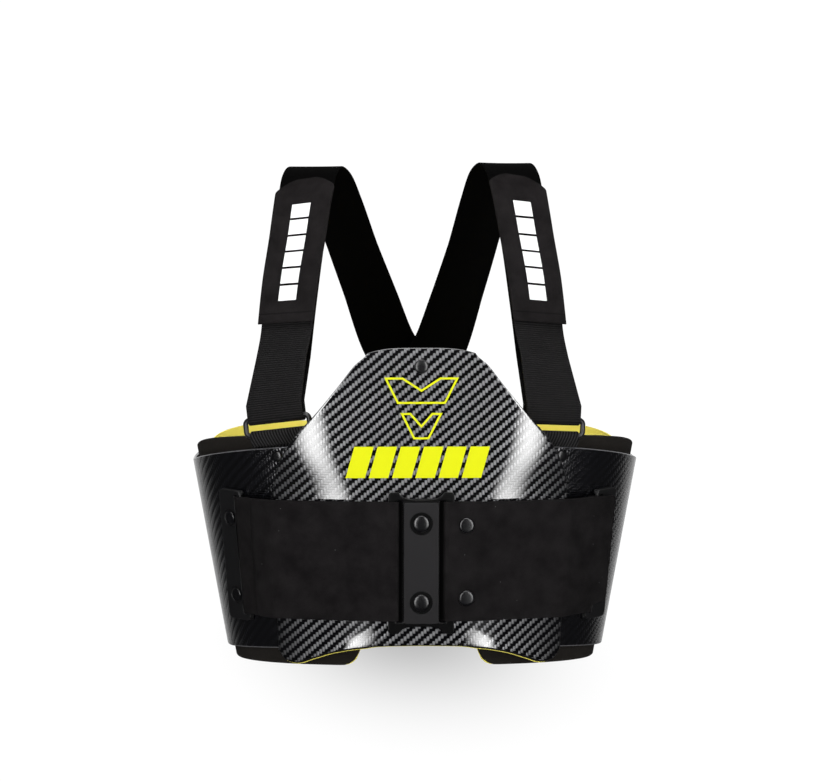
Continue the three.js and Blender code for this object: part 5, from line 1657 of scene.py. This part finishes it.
def add_rivets():
    add_rivet("chest_rivet", on_plate(0, CHEST_RIVET_HEIGHT, SKIN_GAP), CHEST_OUT, HEADS["chest"])
    base = BRIDGE_FRONT - RECESS_DEEP + SKIN_GAP
    for sign, spot in SPOTS:
        point = placed_on_bridge(0, sign * BRIDGE_RIVET, base)
        add_rivet(f"bridge_rivet_{spot}", point, CHEST_OUT, HEADS["bridge"])
        point, normal = on_right_band(BAND_RIVET_ACROSS, BAND_MIDDLE + sign * BAND_RIVET_RISE)
        point = point + normal * (BAND_THICK / 2 + SKIN_GAP)
        add_rivet(f"band_rivet_{spot}", point, normal, HEADS["band"], roundness=FLAT_ROUND)
    stations = strap_stations("left")
    end = strap_end("left")
    above = next(station[1] for station in stations if station[1][2] > STRAP_RIVET_HEIGHT + SLOPE_ABOVE)
    slope = (above[1] - stations[0][1][1]) / (above[2] - stations[0][1][2])
    depth = end[1] + (STRAP_RIVET_HEIGHT - end[2]) * slope + STRAP_THICK / 2 + SKIN_GAP
    for side, label in SIDES:
        place = brackets[label]
        for sign, spot in SPOTS:
            out = place["out"]
            point = place["centre"] + place["up"] * sign * BRACKET_RIVET + out * (BRACKET_TOP + SKIN_GAP)
            add_rivet(f"{label}_bracket_rivet_{spot}", point, out, HEADS["bracket"])
        run = run_at_half_width(ANCHOR_RIVET_ACROSS, ANCHOR_RIVET_HEIGHT, SHELL_THICK)
        anchor = surface_frame(side, run, ANCHOR_RIVET_HEIGHT)
        point = anchor["centre"] + anchor["out"] * (SHELL_THICK + SKIN_GAP)
        add_rivet(f"{label}_anchor_rivet", point, anchor["out"], HEADS["small"])
        for spot, height in BACK_RIVET_HEIGHTS.items():
            back = surface_frame(side, SECTION_RUN - BACK_RIVET_ACROSS, height)
            point = back["centre"] + back["out"] * (SHELL_THICK + BACK_PLATE_THICK + 2 * SKIN_GAP)
            add_rivet(f"{label}_back_rivet_{spot}", point, back["out"], HEADS["small"])
        point = vec(end[0] + side * STRAP_RIVET_APART / 2, depth, STRAP_RIVET_HEIGHT)
        add_rivet(f"{label}_strap_rivet", point, vec(0, 1, -slope), HEADS["small"])


# Printed shapes: plain bars and blocks in place of lettering
PRINT_LIFT = 0.12
PRINT_THICK = 0.2
PRINT_STEP = 2.0
LEAST_MITRE = 0.3


def print_piece(name, patches, surface, material):
    """Thin raised patches on a surface; each patch has four corners, in order round it."""
    points, faces = [], []
    for corners in patches:
        first, second, third, fourth = (np.array(corner, dtype=float) for corner in corners)
        wide = max(np.linalg.norm(second - first), np.linalg.norm(third - fourth))
        tall = max(np.linalg.norm(fourth - first), np.linalg.norm(third - second))
        columns, rows = max(1, round(wide / PRINT_STEP)), max(1, round(tall / PRINT_STEP))
        start = len(points)
        for level in (PRINT_LIFT + PRINT_THICK, PRINT_LIFT):
            for row in range(rows + 1):
                for column in range(columns + 1):
                    low = blend(first, second, column / columns)
                    high = blend(fourth, third, column / columns)
                    points.append(surface(*blend(low, high, row / rows), level))
        some = [tuple(start + corner for corner in face) for face in grid_faces(rows + 1, columns + 1)]
        faces += facing_out(points, some)
    new_piece(name, points, faces, material, smooth=False)


def outline_strips(corners, width):
    """Strips along the sides of a closed outline, mitred inwards."""
    places = [np.array(corner, dtype=float) for corner in corners]
    after = places[1:] + places[:1]
    before = places[-1:] + places[:-1]
    turn = sum(here[0] * there[1] - there[0] * here[1] for here, there in zip(places, after))
    inner = []
    for back, here, there in zip(before, places, after):
        ways = [unit(here - back), unit(there - here)]
        inward = [np.array([-way[1], way[0]]) * math.copysign(1, turn) for way in ways]
        middle = unit(inward[0] + inward[1])
        inner.append(here + middle * (width / max(LEAST_MITRE, np.dot(middle, inward[0]))))
    return list(zip(places, after, inner[1:] + inner[:1], inner))


BAR_COUNT = 6
BAR_GAP = 3.2
BAR_PITCH = 19.3
BAR_LOW = 164.2
BAR_TALL = 26.2
BAR_SHIFT = -6.6
BAR_SLANT = 0.28
MOTIF_ROWS = [(31.0, 20.0, 0.0), (17.5, 6.5, 29.5)]
MOTIF_TOP = 248.0
MOTIF_TALL = 22.0
MOTIF_NOTCH = 0.5
MOTIF_DIP = 10.0
MOTIF_LINE = 1.7


def add_plate_print():
    lean = BAR_SLANT * BAR_TALL
    high = BAR_LOW + BAR_TALL
    patches = []
    for number in range(BAR_COUNT):
        left = (number - BAR_COUNT / 2) * BAR_PITCH + BAR_GAP / 2 + BAR_SHIFT
        right = left + BAR_PITCH - BAR_GAP
        patches.append([(left, BAR_LOW), (right, BAR_LOW), (right + lean, high), (left + lean, high)])
    print_piece("plate_bars", patches, on_plate, yellow_print)
    motif = []
    for half_top, half_low, drop in MOTIF_ROWS:
        high = MOTIF_TOP - drop
        low = high - MOTIF_TALL
        notch = half_top * MOTIF_NOTCH
        motif += outline_strips([
            (-half_low, low), (half_low, low), (half_top, high), (notch, high), (0, high - MOTIF_DIP),
            (-notch, high), (-half_top, high),
        ], MOTIF_LINE)
    print_piece("plate_motif", motif, on_plate, yellow_print)


BLOCK_FROM = 38.5
BLOCK_PITCH = 13.8
BLOCK_COUNT = 6
BLOCK_TALL = 11.9
BLOCK_WIDE = 17.0


def add_tab_print(label):
    spread = np.arange(0.0, (TAB_TO - TAB_FROM) * ROUTE_LENGTH, 1.0)
    rows = tab_stations(strap_stations(label), spread)
    _, centres, acrosses, outs = (np.array(values) for values in zip(*rows))

    def tab_surface(across, from_top, lift):
        centre, sideways, out = (between(from_top, spread, values) for values in (centres, acrosses, outs))
        return centre + sideways * across + out * (TAB_THICK / 2 + lift)

    half = BLOCK_WIDE / 2
    patches = []
    for number in range(BLOCK_COUNT):
        low = BLOCK_FROM + number * BLOCK_PITCH
        high = low + BLOCK_TALL
        patches.append([(-half, low), (half, low), (half, high), (-half, high)])
    print_piece(f"{label}_tab_blocks", patches, tab_surface, white_print)


# Build
add_layers()
for _, side_label in SIDES:
    add_strap(side_label)
    add_ring(side_label)
    add_anchor(side_label)
    add_bracket(side_label)
    add_tab_print(side_label)
add_band("left_band", left_band_route, left_corner)
add_band("right_band", right_band_route, right_corner)
add_band("right_band_under", under_band_route)
add_bridge()
add_rivets()
add_plate_print()

# Camera
PHOTO_WIDE = 827
FOCAL_PIXELS = 3448.0
SENSOR = 36.0
CAMERA_AWAY = 3000.0
CAMERA_AZIMUTH = -2.2
CAMERA_ELEVATION = 3.0
CAMERA_REACH = 50
TARGET = vec(-1.0, 0.0, 229.5)


def towards(azimuth, elevation):
    azimuth, elevation = math.radians(azimuth), math.radians(elevation)
    level = math.cos(elevation)
    return vec(math.sin(azimuth) * level, -math.cos(azimuth) * level, math.sin(elevation))


def aimed(thing, away, azimuth, elevation):
    place = Vector(row_point(TARGET + towards(azimuth, elevation) * away))
    thing.location = place
    thing.rotation_euler = (Vector(row_point(TARGET)) - place).to_track_quat("-Z", "Y").to_euler()


def add_camera():
    data = bpy.data.cameras.new("camera")
    data.sensor_width = SENSOR
    data.lens = FOCAL_PIXELS * SENSOR / PHOTO_WIDE
    data.clip_end = CAMERA_REACH
    camera = new_object("camera", data)
    aimed(camera, CAMERA_AWAY, CAMERA_AZIMUTH, CAMERA_ELEVATION)
    bpy.context.scene.camera = camera


def stage_sheet(name, half_wide, half_tall, level, material):
    """Flat rectangle round the origin, as a part of the stage."""
    mesh = bpy.data.meshes.new(name)
    corners = [(x * half_wide, y * half_tall, level) for x, y in ((-1, -1), (1, -1), (1, 1), (-1, 1))]
    mesh.from_pydata(corners, [], [(0, 1, 2, 3)])
    mesh.materials.append(material)
    sheet = new_object(name, mesh)
    return sheet


def add_glow(name, azimuth, elevation, away, wide, tall, strength):
    """Soft light that fades towards its edges; the camera doesn't see it."""
    n = Nodes(name)
    x, y, _ = n.split(n.object_place())

    def fade(value, half, power):
        return n.math("SUBTRACT", 1.0, n.math("ABSOLUTE", value / half) ** power, clamp=True)

    light = fade(x, wide / 2, 2.0) ** 1.5 * fade(y, tall / 2, 4.0) * strength
    glow = stage_sheet(name, wide / 2, tall / 2, 0, n.finish("Emission", Strength=light))
    aimed(glow, away, azimuth, elevation)
    glow.visible_camera = False
    glow.visible_shadow = False


FLOOR_REACH = 12.0
WHITE = 1.04
# Painted shadow on the floor: how deep, how wide and how long it is, and how far back its middle lies
SHADE_DEPTH = 0.55
SHADE_WIDE = 0.109
SHADE_LONG = 0.45
SHADE_BACK = 0.17
WORLD_LIGHT = 0.03

# Lights: azimuth, elevation and distance, then width and height in metres and strength
GLOWS = [
    ("strip_left", -24, 1.5, 1300, 0.47, 1.42, 12),
    ("strip_right", 28, 1.5, 1300, 0.47, 1.42, 12),
    ("top", 0, 75, 2200, 2.6, 2.0, 7),
    ("backdrop", 176, 12, 2800, 10.0, 4.0, 0.85),
]


def add_floor():
    """White floor with a painted soft grey shadow under and in front of the vest."""
    n = Nodes("floor")
    x, y, _ = n.split(n.object_place())
    wide = (x / SHADE_WIDE) ** 2.0
    long = n.math("ABSOLUTE", (y - SHADE_BACK) / SHADE_LONG) ** 2.0
    # The painted shadow darkens the floor's glow
    shade = n.math("EXPONENT", (wide + long) * -1.0)
    material = n.finish("Emission", Strength=WHITE - shade * SHADE_DEPTH)
    floor = stage_sheet("floor", FLOOR_REACH, FLOOR_REACH, -SHOULDER_HEIGHT * MM, material)
    floor.visible_glossy = False


def add_world():
    """White where the camera sees it, dim as a light."""
    world = bpy.data.worlds.new("world")
    world.use_nodes = True
    tree = world.node_tree
    tree.nodes.clear()
    mixer = tree.nodes.new("ShaderNodeMixShader")
    path = tree.nodes.new("ShaderNodeLightPath")
    tree.links.new(path.outputs["Is Camera Ray"], mixer.inputs[0])
    for number, strength in ((1, WORLD_LIGHT), (2, WHITE)):
        sky = tree.nodes.new("ShaderNodeBackground")
        sky.inputs["Color"].default_value = (1, 1, 1, 1)
        sky.inputs["Strength"].default_value = strength
        tree.links.new(sky.outputs[0], mixer.inputs[number])
    output = tree.nodes.new("ShaderNodeOutputWorld")
    tree.links.new(mixer.outputs[0], output.inputs[0])
    bpy.context.scene.world = world


def add_stage():
    add_floor()
    for name, azimuth, elevation, away, wide, tall, strength in GLOWS:
        add_glow(name, azimuth, elevation, away, wide, tall, strength)
    add_world()
    bpy.context.scene.view_settings.view_transform = "Standard"


add_camera()
add_stage()
